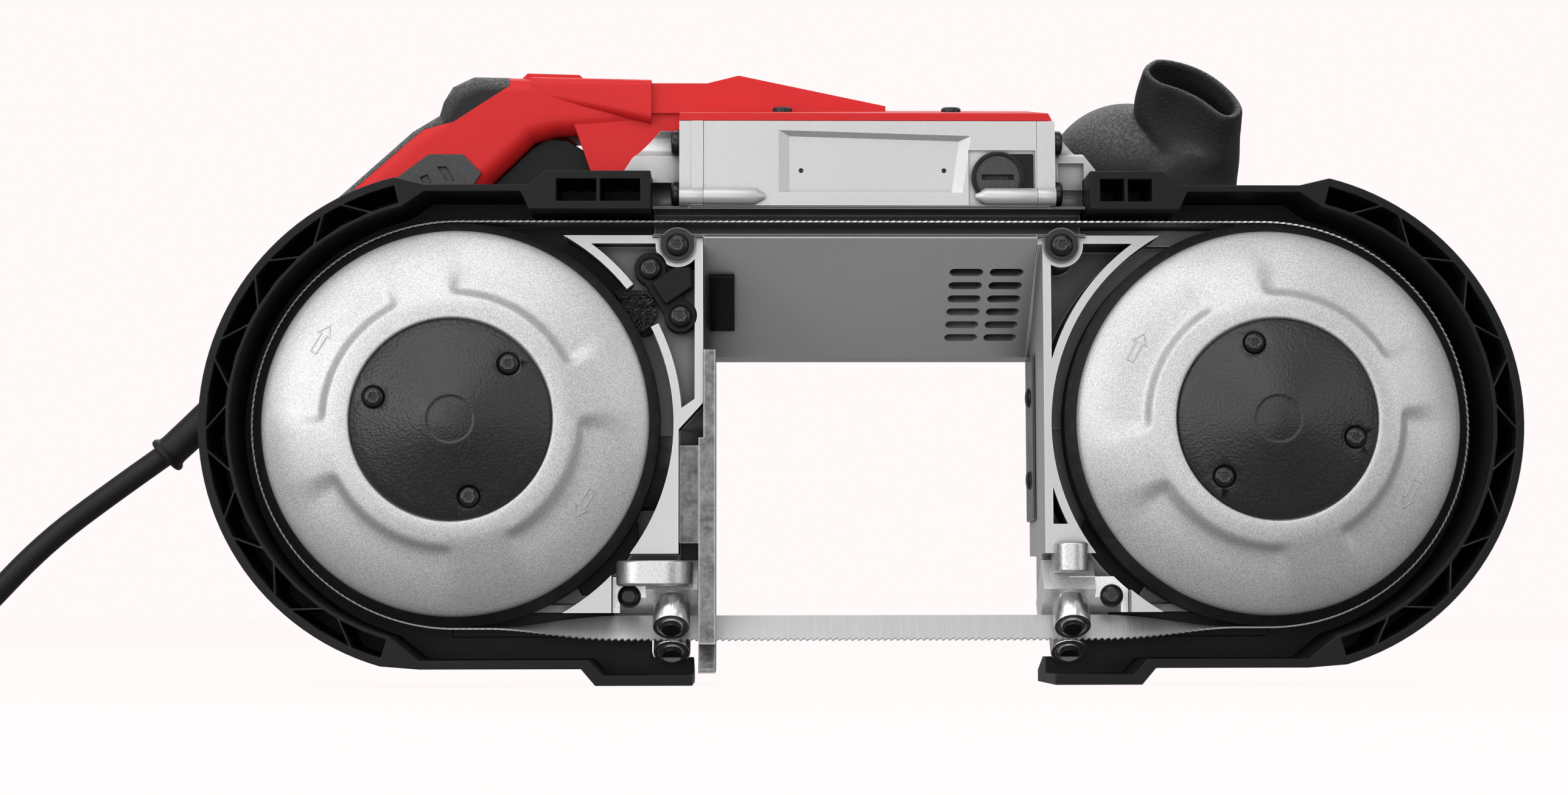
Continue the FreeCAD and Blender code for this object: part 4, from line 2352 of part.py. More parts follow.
def build():
    save(wheel(rear_wheel_x, spindle_radius, drive_screw_angle, drive_dish_angle), "drive_wheel")
    save(tyre(rear_wheel_x), "drive_tyre")
    save(hub_cap(rear_wheel_x, drive_screw_angle), "drive_hub_cap")
    save(hub_screws(rear_wheel_x, drive_screw_angle), "drive_hub_screws")
    save(spindle(), "drive_spindle")
    save(crown_gear(), "crown_gear")
    save(pinion_shaft(), "pinion_shaft")
    save(counter_shaft(), "counter_shaft")
    save(gear_bearings(), "gear_bearings")
    save(wheel(front_wheel_x, idler_bearing_radius, idler_screw_angle, idler_dish_angle), "idler_wheel")
    save(tyre(front_wheel_x), "idler_tyre")
    save(hub_cap(front_wheel_x, idler_screw_angle), "idler_hub_cap")
    save(hub_screws(front_wheel_x, idler_screw_angle), "idler_hub_screws")
    save(idler_axle(), "idler_axle")
    save(idler_bearings(), "idler_bearings")
    save(tension_carriage(), "tension_carriage")
    save(spring(), "tension_spring")
    save(tension_lever(), "tension_lever")
    save(armature(), "armature")
    save(commutator(), "commutator")
    save(fan(), "fan")
    save(stator(), "stator")
    save(motor_bearings(), "motor_bearings")
    save(carbon_brushes(), "carbon_brushes")
    save(brush_holders(), "brush_holders")
    save(brush_caps(), "brush_caps")
    save(gear_case(), "gear_case")
    save(motor_housing(), "motor_housing")
    save(front_frame(), "front_frame")
    save(work_light(), "work_light")
    front, rear, rubber, panels = handle_pieces()
    save(front, "handle_front_half")
    save(rear, "handle_rear_half")
    save(rubber, "grip_overmould")
    save(panels, "grip_panels")
    save(trigger(), "trigger")
    save(switch_body(), "switch_body")
    save(handle_screws(), "handle_screws")
    save(front_handle(), "front_handle")
    save(guard(rear_wheel_x, -1, rear_block_end, rear_block_start, rear_foot_end, rear_foot_start),
         "rear_guard")
    save(guard(front_wheel_x, 1, front_block_end, front_block_start, front_foot_end, front_foot_start),
         "front_guard")
    save(blade_channel(), "blade_channel")
    save(frame_screws(), "frame_screws")
    save(arm_plate(), "arm_plate")
    save(housing_bolts(), "housing_bolts")
    save(blade(), "blade")
    save(guide_bracket(rear_guide_x, -1), "rear_guide_bracket")
    save(guide_bracket(front_guide_x, 1), "front_guide_bracket")
    save(roller(rear_guide_x, roller_across), "rear_upper_roller")
    save(roller(rear_guide_x, -roller_across), "rear_lower_roller")
    save(roller(front_guide_x, roller_across), "front_upper_roller")
    save(roller(front_guide_x, -roller_across), "front_lower_roller")
    save(work_stop(), "work_stop")
    save(chip_brush_holder(), "chip_brush_holder")
    save(chip_brush_bristles(), "chip_brush_bristles")
    save(strain_relief(), "strain_relief")
    save(tube(lead_edges, cord_diameter / 2), "cord_lead")
    edges, tail, way = coil_edges()
    print("  coil length", round(sum(edge.Length for edge in edges)), "least gap",
          round(least_gap(edges, cord_diameter), 2))
    save(tube(edges, cord_diameter / 2), "cord_coil")
    body, prongs = plug(tail, way)
    save(body, "plug_body")
    save(prongs, "plug_prongs")


build()
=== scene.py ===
"""Corded portable band saw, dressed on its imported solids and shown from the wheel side."""
import math
import random

import bmesh
import bpy
from mathutils import Matrix, Vector


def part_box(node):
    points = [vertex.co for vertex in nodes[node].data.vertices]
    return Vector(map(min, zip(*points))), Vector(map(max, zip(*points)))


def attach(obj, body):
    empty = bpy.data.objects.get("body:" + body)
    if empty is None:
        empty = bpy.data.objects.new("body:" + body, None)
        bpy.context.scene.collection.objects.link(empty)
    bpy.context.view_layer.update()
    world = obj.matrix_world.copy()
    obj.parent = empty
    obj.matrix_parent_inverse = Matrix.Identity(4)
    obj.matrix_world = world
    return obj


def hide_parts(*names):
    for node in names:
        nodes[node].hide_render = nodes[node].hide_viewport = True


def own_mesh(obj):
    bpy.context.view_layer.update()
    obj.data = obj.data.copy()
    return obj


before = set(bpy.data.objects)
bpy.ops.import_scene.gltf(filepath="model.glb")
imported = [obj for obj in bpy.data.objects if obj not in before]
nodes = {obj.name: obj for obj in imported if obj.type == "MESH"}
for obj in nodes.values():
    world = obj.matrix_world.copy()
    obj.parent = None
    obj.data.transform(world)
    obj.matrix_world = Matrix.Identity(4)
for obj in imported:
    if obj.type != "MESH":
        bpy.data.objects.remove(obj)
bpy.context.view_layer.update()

# Studio
# A white paper floor in a white room, lit evenly so that it stays near white. Wide soft lights above, in
# front, at the sides and behind let the castings grade smoothly and keep the edges of the black guards.
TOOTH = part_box("blade")[0][1]
PAPER_HALF = 40.0
PAPER_DROP = 0.0004


def at(x, depth, z):
    """A point from millimetres: X, depth behind the tooth line, height."""
    return Vector((x / 1000, TOOTH + depth / 1000, z / 1000))


class Socket:
    """A shader node's output that can be added, multiplied and so on."""

    def __init__(self, shade, link):
        self.shade = shade
        self.link = link

    def math(self, operation, first, second):
        return self.shade.node("ShaderNodeMath", {"operation": operation}, {0: first, 1: second})

    def __add__(self, other):
        return self.math("ADD", self, other)

    __radd__ = __add__

    def __sub__(self, other):
        return self.math("SUBTRACT", self, other)

    def __rsub__(self, other):
        return self.math("SUBTRACT", other, self)

    def __mul__(self, other):
        return self.math("MULTIPLY", self, other)

    __rmul__ = __mul__

    def __pow__(self, other):
        return self.math("POWER", self, other)

    def over(self, low, high):
        """0 below low, 1 above high and a straight ramp between them."""
        values = {0: self, 1: low, 2: high, 3: 0.0, 4: 1.0}
        return self.shade.node("ShaderNodeMapRange", {"clamp": True}, values)


class Finish:
    """A material with one surface shader and the nodes that vary it."""

    def __init__(self, name, roughness=0.5, metallic=0.0, specular=0.5):
        self.material = bpy.data.materials.new(name)
        self.material.use_nodes = True
        self.tree = self.material.node_tree
        self.surface = self.tree.nodes["Principled BSDF"]
        self.surface.inputs["Roughness"].default_value = roughness
        self.surface.inputs["Metallic"].default_value = metallic
        self.surface.inputs["Specular IOR Level"].default_value = specular

    def node(self, kind, settings=None, values=None, out=0):
        made = self.tree.nodes.new(kind)
        for key, value in (settings or {}).items():
            setattr(made, key, value)
        for key, value in (values or {}).items():
            if isinstance(value, Socket):
                self.tree.links.new(value.link, made.inputs[key])
            else:
                made.inputs[key].default_value = value
        return Socket(self, made.outputs[out])

    def feed(self, name, value):
        self.tree.links.new(value.link, self.surface.inputs[name])

    def place(self):
        return self.node("ShaderNodeTexCoord", out="Object")

    def noise(self, scale, detail=2.0, rough=0.5, where=None):
        values = {"Vector": where or self.place(), "Scale": scale, "Detail": detail, "Roughness": rough}
        return self.node("ShaderNodeTexNoise", None, values)

    def cells(self, scale, feature="F1"):
        values = {"Vector": self.place(), "Scale": scale}
        return self.node("ShaderNodeTexVoronoi", {"feature": feature}, values, "Distance")

    def blend(self, share, low, high):
        """A colour between two colours."""
        return self.node("ShaderNodeMix", {"data_type": "RGBA"}, {0: share, 6: low, 7: high}, 2)

    def edges(self, radius):
        """1 on corners, 0 on flats, from the angle between the rounded and the true normal; marks wear and
        painted highlights.
        """
        rounded = self.node("ShaderNodeBevel", {"samples": 4}, {"Radius": radius})
        true = self.node("ShaderNodeNewGeometry", out="Normal")
        pair = {0: rounded, 1: true}
        dot = self.node("ShaderNodeVectorMath", {"operation": "DOT_PRODUCT"}, pair, "Value")
        return (1 - dot).over(0.02, 0.2)

    def open_air(self, distance):
        """1 on open faces, towards 0 in pockets and corners, for painting shade into them."""
        return self.node("ShaderNodeAmbientOcclusion", {"samples": 8}, {"Distance": distance}, "AO")

    def bump(self, height, distance, strength=1.0):
        values = {"Height": height, "Distance": distance, "Strength": strength}
        self.feed("Normal", self.node("ShaderNodeBump", None, values))


def grey(value, tint=(1.0, 1.0, 1.0)):
    return (value * tint[0], value * tint[1], value * tint[2], 1.0)


def paper_floor():
    """A wide sheet of white paper under the saw, with a faint tone in it."""
    build = bmesh.new()
    bmesh.ops.create_grid(build, x_segments=8, y_segments=8, size=PAPER_HALF)
    mesh = bpy.data.meshes.new("paper_floor")
    build.to_mesh(mesh)
    build.free()
    sheet = bpy.data.objects.new("paper_floor", mesh)
    sheet.location = (0, 0, -PAPER_DROP)
    bpy.context.collection.objects.link(sheet)
    paper = Finish("white_paper", roughness=0.9, specular=0.0)
    paper_tone = paper.blend(paper.noise(3.0), (0.045, 0.043, 0.043, 1), (0.055, 0.053, 0.053, 1))
    paper.feed("Base Color", paper_tone)
    paper.surface.inputs["Emission Color"].default_value = (0.965, 0.912, 0.912, 1)
    paper.surface.inputs["Emission Strength"].default_value = 1.0
    mesh.materials.append(paper.material)
    sheet.visible_diffuse = False
    sheet.visible_glossy = False


def soft_light(name, place, aim, width, height, power):
    data = bpy.data.lights.new(name, "AREA")
    data.shape = "RECTANGLE"
    data.size = width
    data.size_y = height
    data.energy = power
    lamp = bpy.data.objects.new(name, data)
    lamp.location = place
    lamp.rotation_euler = (Vector(aim) - Vector(place)).to_track_quat("-Z", "Y").to_euler()
    bpy.context.collection.objects.link(lamp)


paper_floor()
soft_light("top_softbox", (-0.25, -0.85, 1.25), (0, 0, 0.12), 1.8, 0.9, 12)
soft_light("front_softbox", (-0.35, -2.0, 0.10), (0, 0, 0.12), 2.4, 1.3, 15)
soft_light("left_softbox", (-1.3, -0.9, 0.45), (0, 0, 0.12), 0.7, 1.1, 9)
soft_light("right_softbox", (1.3, -0.8, 0.5), (0, 0, 0.12), 0.7, 1.1, 4)
soft_light("back_softbox", (0.1, 1.0, 1.3), (0, 0.1, 0.1), 2.0, 0.8, 12)
world = bpy.data.worlds.new("white_room")
world.use_nodes = True
room = world.node_tree.nodes
direction = room.new("ShaderNodeTexCoord")
axes = room.new("ShaderNodeSeparateXYZ")
ceiling = room.new("ShaderNodeMapRange")
for key, value in {1: -0.35, 2: 0.8, 3: 0.30, 4: 0.50}.items():
    ceiling.inputs[key].default_value = value
world.node_tree.links.new(direction.outputs["Generated"], axes.inputs[0])
world.node_tree.links.new(axes.outputs["Z"], ceiling.inputs[0])
world.node_tree.links.new(ceiling.outputs[0], room["Background"].inputs["Strength"])
room["Background"].inputs["Color"].default_value = (1.0, 0.98, 0.98, 1)
backdrop = room.new("ShaderNodeBackground")
backdrop.inputs["Color"].default_value = (1.0, 0.947, 0.947, 1)
seen = room.new("ShaderNodeLightPath")
choice = room.new("ShaderNodeMixShader")
world.node_tree.links.new(seen.outputs["Is Camera Ray"], choice.inputs[0])
world.node_tree.links.new(room["Background"].outputs[0], choice.inputs[1])
world.node_tree.links.new(backdrop.outputs[0], choice.inputs[2])
world.node_tree.links.new(choice.outputs[0], room["World Output"].inputs["Surface"])
bpy.context.scene.world = world
bpy.context.scene.view_settings.view_transform = "Standard"

# Camera
# Solved from both wheels' rims and hub caps: low, a metre in front of the teeth and tipped up a little.
# Focal length and axis are in pixels of the photograph.
PHOTO_WIDTH = 2576
PHOTO_HEIGHT = 1306
FOCAL = 4296
AXIS_X = 1295
AXIS_Y = 654
YAW = math.radians(1.07)
PITCH = math.radians(4.80)
ROLL = math.radians(-0.11)
CAMERA_PLACE = (-48.3, -1023.9, 26.0)
SENSOR_WIDTH = 36
forward = Vector((math.sin(YAW) * math.cos(PITCH), math.cos(YAW) * math.cos(PITCH), math.sin(PITCH)))
right = Vector((math.cos(YAW), -math.sin(YAW), 0))
up = right.cross(forward)
right, up = right * math.cos(ROLL) + up * math.sin(ROLL), up * math.cos(ROLL) - right * math.sin(ROLL)
lens = bpy.data.cameras.new("photo_camera")
lens.sensor_width = SENSOR_WIDTH
lens.lens = FOCAL * SENSOR_WIDTH / PHOTO_WIDTH
lens.shift_x = (PHOTO_WIDTH / 2 - AXIS_X) / PHOTO_WIDTH
lens.shift_y = (AXIS_Y - PHOTO_HEIGHT / 2) / PHOTO_WIDTH
lens.clip_start = 0.05
camera = bpy.data.objects.new("photo_camera", lens)
turned = Matrix((right, up, -forward)).transposed().to_4x4()
camera.matrix_world = Matrix.Translation(at(*CAMERA_PLACE)) @ turned
bpy.context.collection.objects.link(camera)
bpy.context.scene.camera = camera

# Frame castings
# Rear gear case, motor housing and front frame: pressure die-cast aluminium with a fine sand-like skin,
# bolted together through flanges. Their edges are lighter, partly worn and partly a painted highlight, and
# pockets and corners are darkened with painted shade.
CORNER_ANGLE = math.radians(40)
JOIN_REACH = 0.00001


def soft_edges(piece, width, segments=2):
    """Rounds a piece's corners."""
    bevel = piece.modifiers.new("soft_edges", "BEVEL")
    bevel.width = width
    bevel.segments = segments
    bevel.limit_method = "ANGLE"
    bevel.angle_limit = CORNER_ANGLE
    bevel.harden_normals = True


def dress(name, finish, soften=0.0, segments=2):
    """Gives a solid its finish and, if asked, rounded edges."""
    body = nodes[name]
    body.data.materials.clear()
    body.data.materials.append(finish.material)
    if soften:
        weld = body.modifiers.new("joined", "WELD")
        weld.merge_threshold = JOIN_REACH
        soft_edges(body, soften, segments)


cast = Finish("die_cast_skin", roughness=0.42, metallic=0.55)
cast_grain = cast.noise(1500, 3)
cast_tone = cast.blend(cast_grain * 0.6 + cast.noise(14, 3) * 0.4, grey(0.42), grey(0.60))
# Edges lighter: partly wear, partly a painted highlight.
cast_worn_lit_edge = cast.edges(0.0007)
# Painted shade: pockets and corners are darkened towards black.
cast_unshaded = cast.open_air(0.03).over(0.2, 0.8)
cast_skin_and_shade = cast.blend(cast_unshaded, grey(0.05), cast_tone)
cast.feed("Base Color", cast.blend(cast_worn_lit_edge * 0.6, cast_skin_and_shade, grey(0.78)))
cast.feed("Roughness", 0.36 + cast_grain * 0.16 - cast_worn_lit_edge * 0.08)
cast.bump(cast_grain, 0.00007)
for name in ("gear_case", "motor_housing", "front_frame"):
    dress(name, cast, 0.0005)

# Red handle
# Two glass-filled nylon halves, moulded with a fine spark texture, that also form the roof over the motor.
# Screws hold them together.
red = Finish("red_nylon", roughness=0.46, specular=0.22)
red_grain = red.noise(1700, 2)
red.feed("Base Color", red.blend(red.noise(9, 3), (0.52, 0.012, 0.013, 1), (0.57, 0.017, 0.018, 1)))
red.feed("Roughness", 0.42 + red_grain * 0.14)
red.bump(red_grain, 0.00005)
for name in ("handle_front_half", "handle_rear_half"):
    dress(name, red, 0.0009, 3)

# Rubber grips
# Charcoal elastomer with a leather-like grain, with a painted light that makes it paler where it faces up.
# It is moulded over the palm side of the grip, and the front handle is the same stock.
rubber = Finish("grained_rubber", roughness=0.62, specular=0.22)
rubber_grain = rubber.cells(900)
rubber_normal = rubber.node("ShaderNodeNewGeometry", out="Normal")
# Painted light: faces that point up are made paler, as if lit from above.
rubber_painted_top_light = rubber.node("ShaderNodeSeparateXYZ", None, {0: rubber_normal}, "Z").over(0.0, 0.7)
rubber_top_lit_tone = rubber.blend(rubber_painted_top_light, grey(0.018), grey(0.17))
rubber.feed("Base Color", rubber.blend(rubber_grain, grey(0.012), rubber_top_lit_tone))
rubber.feed("Roughness", 0.56 + rubber_grain * 0.2)
rubber.bump(rubber_grain, 0.00018)
for name in ("grip_overmould", "front_handle"):
    dress(name, rubber, 0.0008)
dress("strain_relief", rubber, 0.0005)

# Dark mouldings
# Guards, trigger, switch, chip-brush holder and fan: black nylon with a satin skin, clipped and screwed to
# the castings. The side panels of the grip and the brush caps are of a greyer, textured nylon.
black = Finish("black_nylon", roughness=0.42, specular=0.14)
black_grain = black.noise(1200, 2)
# Painted highlight: the corners of the black nylon are lightened.
black_edge_highlight = black.edges(0.0006)
black_tone = black.blend(black.noise(30, 2), grey(0.007), grey(0.011))
black.feed("Base Color", black.blend(black_edge_highlight * 0.8, black_tone, grey(0.06)))
black.feed("Roughness", 0.36 + black_grain * 0.2)
black.bump(black_grain, 0.00004)
for name in ("rear_guard", "front_guard", "trigger", "chip_brush_holder", "switch_body", "fan",
             "carbon_brushes"):
    dress(name, black, 0.0005)
panel = Finish("textured_nylon", roughness=0.5, specular=0.25)
panel_grain = panel.cells(1400)
# Painted shade: crevices of the textured nylon are darkened towards black.
panel_unshaded = panel.open_air(0.004).over(0.35, 0.85)
panel_tone = panel.blend(panel_grain, grey(0.03), grey(0.07))
panel.feed("Base Color", panel.blend(panel_unshaded, grey(0.003), panel_tone))
panel.feed("Roughness", 0.42 + panel_grain * 0.2)
panel.bump(panel_grain, 0.00012)
for name in ("grip_panels", "brush_caps"):
    dress(name, panel, 0.0005)

# Wheels
# Pressed alloy discs, painted silver with a fine metallic fleck: four sectors are sunk round the hub and
# two turning arrows are stamped proud. Disc, rim and hub are one turned body on the axle.
AXLE_X = 159.129
AXLE_Z = 102.0
SECTOR_SPREAD = 63.0
ARROW_RADIUS = 60.0
HUB_SEAT = 38.99
HUB_FACE = -20.0
HUB_BACK = 24.0
WHEEL_STEPS = 240
ridge_line = [(39.0, -22.2), (39.5, -22.9), (41.0, -23.0), (46.0, -22.0), (52.0, -19.6), (60.0, -15.9),
              (66.0, -12.6), (72.0, -8.6), (74.2, -7.0), (75.1, -6.0), (75.5, -4.6)]
sunk_line = [(39.0, -22.2), (39.5, -22.9), (41.0, -23.0), (46.0, -22.0), (48.2, -21.1), (51.0, -17.8),
             (54.0, -16.4), (60.0, -14.4), (66.0, -11.9), (72.0, -8.6), (74.2, -7.0), (75.1, -6.0),
             (75.5, -4.6)]
back_line = [(75.5, 13.5), (71.5, 13.5), (71.5, -2.0), (60.0, -11.0), (46.0, -17.5), (21.5, -15.5),
             (17.0, -11.0), (17.0, 24.0)]
face_radii = [39.0, 39.2, 39.5, 40.0, 41.0, 43.0, 45.0, 46.0, 47.0, 47.6, 48.2, 48.8, 49.4, 50.0, 50.6,
              51.2, 51.8, 52.5, 53.3, 54.2, 55.2, 56.5, 58.0, 60.0, 62.0, 64.0, 66.0, 68.0, 70.0, 72.0,
              73.2, 74.2, 74.7, 75.1, 75.35, 75.5]
arrow_ridge = [(0.42, -0.1), (0.16, 0.3), (-0.16, 0.3), (-0.42, -0.1)]
arrow_line = [(6.0, 0.0), (1.9, 2.7), (1.9, 1.3), (-6.0, 1.3), (-6.0, -1.3), (1.9, -1.3), (1.9, -2.7)]


def eased(line, radius):
    """Depth on a smooth curve through the points of a profile."""
    last = len(line) - 1
    i = 0
    while i < last - 1 and radius > line[i + 1][0]:
        i += 1
    (r0, d0), (r1, d1) = line[i], line[i + 1]
    before = line[max(i - 1, 0)]
    after = line[min(i + 2, last)]
    width = r1 - r0
    t = (radius - r0) / width
    start = (d1 - before[1]) / (r1 - before[0]) * width
    finish = (after[1] - d0) / (after[0] - r0) * width
    return (d0 * (2 * t ** 3 - 3 * t ** 2 + 1) + start * (t ** 3 - 2 * t ** 2 + t)
            + d1 * (3 * t ** 2 - 2 * t ** 3) + finish * (t ** 3 - t ** 2))


def disc_depth(radius, angle, sector):
    """Depth of the pressed face, which sinks smoothly inside each of the four sectors."""
    turn = abs((angle - sector + 45) % 90 - 45)
    soft = 2.2 + 0.22 * max(0, radius - 48)
    inside = min(1, max(0, (SECTOR_SPREAD / 2 + soft - turn) / (2 * soft)))
    inside = inside * inside * (3 - 2 * inside)
    high = eased(ridge_line, radius)
    return high + inside * (eased(sunk_line, radius) - high)


def offset_ring(line, width):
    """A closed outline moved outwards by a width, with mitred corners."""
    moved = []
    for i, here in enumerate(line):
        into = (Vector(here) - Vector(line[i - 1])).normalized()
        out = (Vector(line[(i + 1) % len(line)]) - Vector(here)).normalized()
        first = Vector((-into.y, into.x))
        second = Vector((-out.y, out.x))
        moved.append(Vector(here) + (first + second) * (width / (1 + first.dot(second))))
    return moved


def split_ring(line, longest):
    """The outline with points added along its long sides."""
    dense = []
    for i, here in enumerate(line):
        ahead = Vector(line[(i + 1) % len(line)])
        pieces = max(1, round((ahead - Vector(here)).length / longest))
        dense += [tuple(Vector(here).lerp(ahead, k / pieces)) for k in range(pieces)]
    return dense


def new_piece(name, build, finish, smooth=40):
    """A mesh object from a bmesh, smooth except at edges sharper than the given angle."""
    mesh = bpy.data.meshes.new(name)
    bmesh.ops.recalc_face_normals(build, faces=build.faces)
    build.to_mesh(mesh)
    build.free()
    mesh.shade_smooth()
    mesh.set_sharp_from_angle(angle=math.radians(smooth))
    mesh.materials.append(finish.material)
    piece = bpy.data.objects.new(name, mesh)
    bpy.context.collection.objects.link(piece)
    return piece


def bridge(build, rows):
    """Quads between rows of vertices that each close on themselves."""
    for low, high in zip(rows, rows[1:]):
        for i in range(len(low)):
            j = (i + 1) % len(low)
            build.faces.new((low[i], low[j], high[j], high[i]))


def pressed_wheel(name, x, bore, sector, finish):
    """The hub, the pressed face and the rim in one closed skin, and the ridges of the two arrows."""
    build = bmesh.new()
    hub_line = [(bore, HUB_BACK), (bore, HUB_FACE), (HUB_SEAT, HUB_FACE)]
    rows = []
    for radius, depth in hub_line + [(radius, None) for radius in face_radii] + back_line:
        row = []
        for i in range(WHEEL_STEPS):
            angle = 360 * i / WHEEL_STEPS
            here = disc_depth(radius, angle, sector) if depth is None else depth
            turn = math.radians(angle)
            spot = at(x + radius * math.cos(turn), here, AXLE_Z + radius * math.sin(turn))
            row.append(build.verts.new(spot))
        rows.append(row)
    bridge(build, rows + rows[:1])
    for middle in (sector + 90, sector + 270):
        turn = math.radians(middle)
        ring = split_ring(arrow_line, 1.5)
        rows = []
        for width, rise in arrow_ridge:
            row = []
            for along, across in offset_ring(ring, width):
                px = (ARROW_RADIUS + across) * math.cos(turn) + along * math.sin(turn)
                pz = (ARROW_RADIUS + across) * math.sin(turn) - along * math.cos(turn)
                radius = math.hypot(px, pz)
                here = disc_depth(radius, math.degrees(math.atan2(pz, px)), sector) - rise
                row.append(build.verts.new(at(x + px, here, AXLE_Z + pz)))
            rows.append(row)
        bridge(build, rows)
    return new_piece(name, build, finish)


silver = Finish("silver_wheel_paint", roughness=0.42, metallic=0.5)
fleck = silver.noise(1900, 2)
silver_tone = silver.blend(fleck.over(0.35, 0.65), grey(0.40), grey(0.62))
silver.feed("Base Color", silver_tone)
silver.feed("Roughness", 0.36 + fleck * 0.16)
silver.bump(fleck, 0.00006)
for node, body, x, bore, sector in (("drive_wheel", "drive_wheel_unit", -AXLE_X, 8.0, 58.0),
                                    ("idler_wheel", "idler_wheel_unit", AXLE_X, 13.0, 61.5)):
    wheel = pressed_wheel("pressed_" + node, x, bore, sector, silver)
    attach(wheel, body)
    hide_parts(node)

# Wheel wells
# Pressed black plates close the space behind the tyres beside the throat, as dark sheets standing in for
# the shade there, and each arm ends in a thin cast foot with a rib along its lower edge. The plates are
# screwed to the castings.
well_upper = [(-164, 184), (-82.5, 184), (-82.5, 175.4), (-112.5, 175.4), (-105, 170), (-98.5, 163.5),
              (-91.6, 156.6), (-91.6, 142), (-104, 139), (-110, 147), (-118, 152), (-132, 158), (-147, 161),
              (-164, 161)]
well_lower = [(-162, 43), (-148, 44), (-134, 48), (-122, 55), (-111, 66), (-97, 68), (-88.6, 64),
              (-88.6, 49), (-98, 41.3), (-105, 34.5), (-112, 29.4), (-97, 29), (-97, 18.4), (-162, 18.4)]
brush_shield = [(-99, 155.6), (-97.5, 153.7), (-93.3, 148.1), (-89.5, 142.2), (-86.9, 137.2),
                (-83, 138.5), (-83, 152), (-92, 159)]
foot_line = [(-131.5, 28), (-98, 28), (-98, 26.4), (-84.5, 26.4), (-84.5, 35.2), (-110.5, 35.2),
             (-114.5, 41.5), (-122, 36.8), (-131.5, 32)]
foot_rib = [(-130.2, 28), (-103, 28), (-101.6, 29.6), (-102.4, 31.3), (-104.6, 31.5), (-124.6, 31.5)]


def cut_plate(name, outline, front, back, finish, soften):
    """A flat plate of the given outline, with rounded edges."""
    build = bmesh.new()
    rows = [[build.verts.new(at(x, depth, z)) for x, z in outline] for depth in (front, back)]
    bridge(build, rows)
    build.faces.new(rows[0])
    build.faces.new(rows[1])
    plate = new_piece(name, build, finish, 30)
    soft_edges(plate, soften)
    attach(plate, "frame")
    return plate


# The black well plates stand in for the shade in the gaps behind the tyres.
# Name, outline, front and back depth, finish, and side: 1 at the rear wheel, -1 mirrored to the front one
well_plates = (
    ("rear_well_upper", well_upper, 17.2, 18.6, black, 1),
    ("rear_well_lower", well_lower, 17.2, 18.6, black, 1),
    ("front_well_lower", well_lower, 17.2, 18.6, black, -1),
    ("brush_shield", brush_shield, 10.6, 12.0, black, 1),
    ("rear_foot_plate", foot_line, 14.8, 17.2, cast, 1),
    ("front_foot_plate", foot_line, 14.8, 17.2, cast, -1),
    ("rear_foot_rib", foot_rib, 12.4, 14.8, cast, 1),
    ("front_foot_rib", foot_rib, 12.4, 14.8, cast, -1),
)
for name, outline, front, back, finish, side in well_plates:
    plate = cut_plate(name, [(x * side, z) for x, z in outline], front, back, finish, 0.0005)

# Tyres
# Moulded urethane bands, black and scuffed by the blade. They are stretched over the wheel rims and turn
# with them.
tyre = Finish("black_urethane", roughness=0.55, specular=0.35)
scuff = tyre.noise(260, 4, 0.7)
tyre.feed("Base Color", tyre.blend(scuff.over(0.5, 0.8), grey(0.012), grey(0.03)))
tyre.feed("Roughness", 0.5 + scuff * 0.2)
tyre.bump(scuff, 0.00005)
for name in ("drive_tyre", "idler_tyre"):
    dress(name, tyre)

# Hub caps
# Shallow moulded cones of dark nylon with a leather grain. Three screws hold each to its wheel, and it
# turns with it.
CONE_RISE = 0.45


def cap_finish(name, x):
    """Leather grain on a cone that is a little steeper than the solid's."""
    hub = Finish(name, roughness=0.4, specular=0.45)
    leather = hub.cells(1050, "SMOOTH_F1")
    hub.feed("Base Color", hub.blend(leather, grey(0.010), grey(0.025)))
    hub.feed("Roughness", 0.34 + leather * 0.2)
    middle = at(x, 0, AXLE_Z)
    axes = hub.node("ShaderNodeSeparateXYZ", None, {0: hub.place()}).link.node
    across = Socket(hub, axes.outputs["X"]) - middle.x
    upward = Socket(hub, axes.outputs["Z"]) - middle.z
    radius = (across * across + upward * upward) ** 0.5
    cone = (radius * radius + 0.00006) ** 0.5 * -CONE_RISE
    hub.bump(cone + leather * 0.00022, 1.0)
    return hub


dress("drive_hub_cap", cap_finish("drive_cap_grain", -AXLE_X), 0.0003)
dress("idler_hub_cap", cap_finish("idler_cap_grain", AXLE_X), 0.0003)

# Dark screws and steel stop
# Button-head screws in black oxide, with six-lobed sockets, and the ground steel work stop, all lighter on
# their edges, partly from rubbing and partly a painted highlight. The hub screws turn with their wheels;
# the others hold the castings together.
oxide = Finish("black_oxide", roughness=0.24, specular=0.32)
# Edges lighter: partly rubbing wear, partly a painted highlight.
oxide_worn_lit_edge = oxide.edges(0.0006)
oxide_tone = oxide.blend(oxide.noise(60, 4), grey(0.006), grey(0.016))
oxide.feed("Base Color", oxide.blend(oxide_worn_lit_edge, oxide_tone, grey(0.22)))
oxide.feed("Roughness", 0.16 + oxide.noise(500, 3) * 0.16)
for name in ("drive_hub_screws", "idler_hub_screws", "frame_screws", "handle_screws", "housing_bolts",
             "tension_lever", "stator"):
    dress(name, oxide, 0.0004)
SOCKET_RADIUS = 1.75
SOCKET_LOBE = 0.28
SHANK_RADIUS = 2.4
SCREW_STEPS = 48
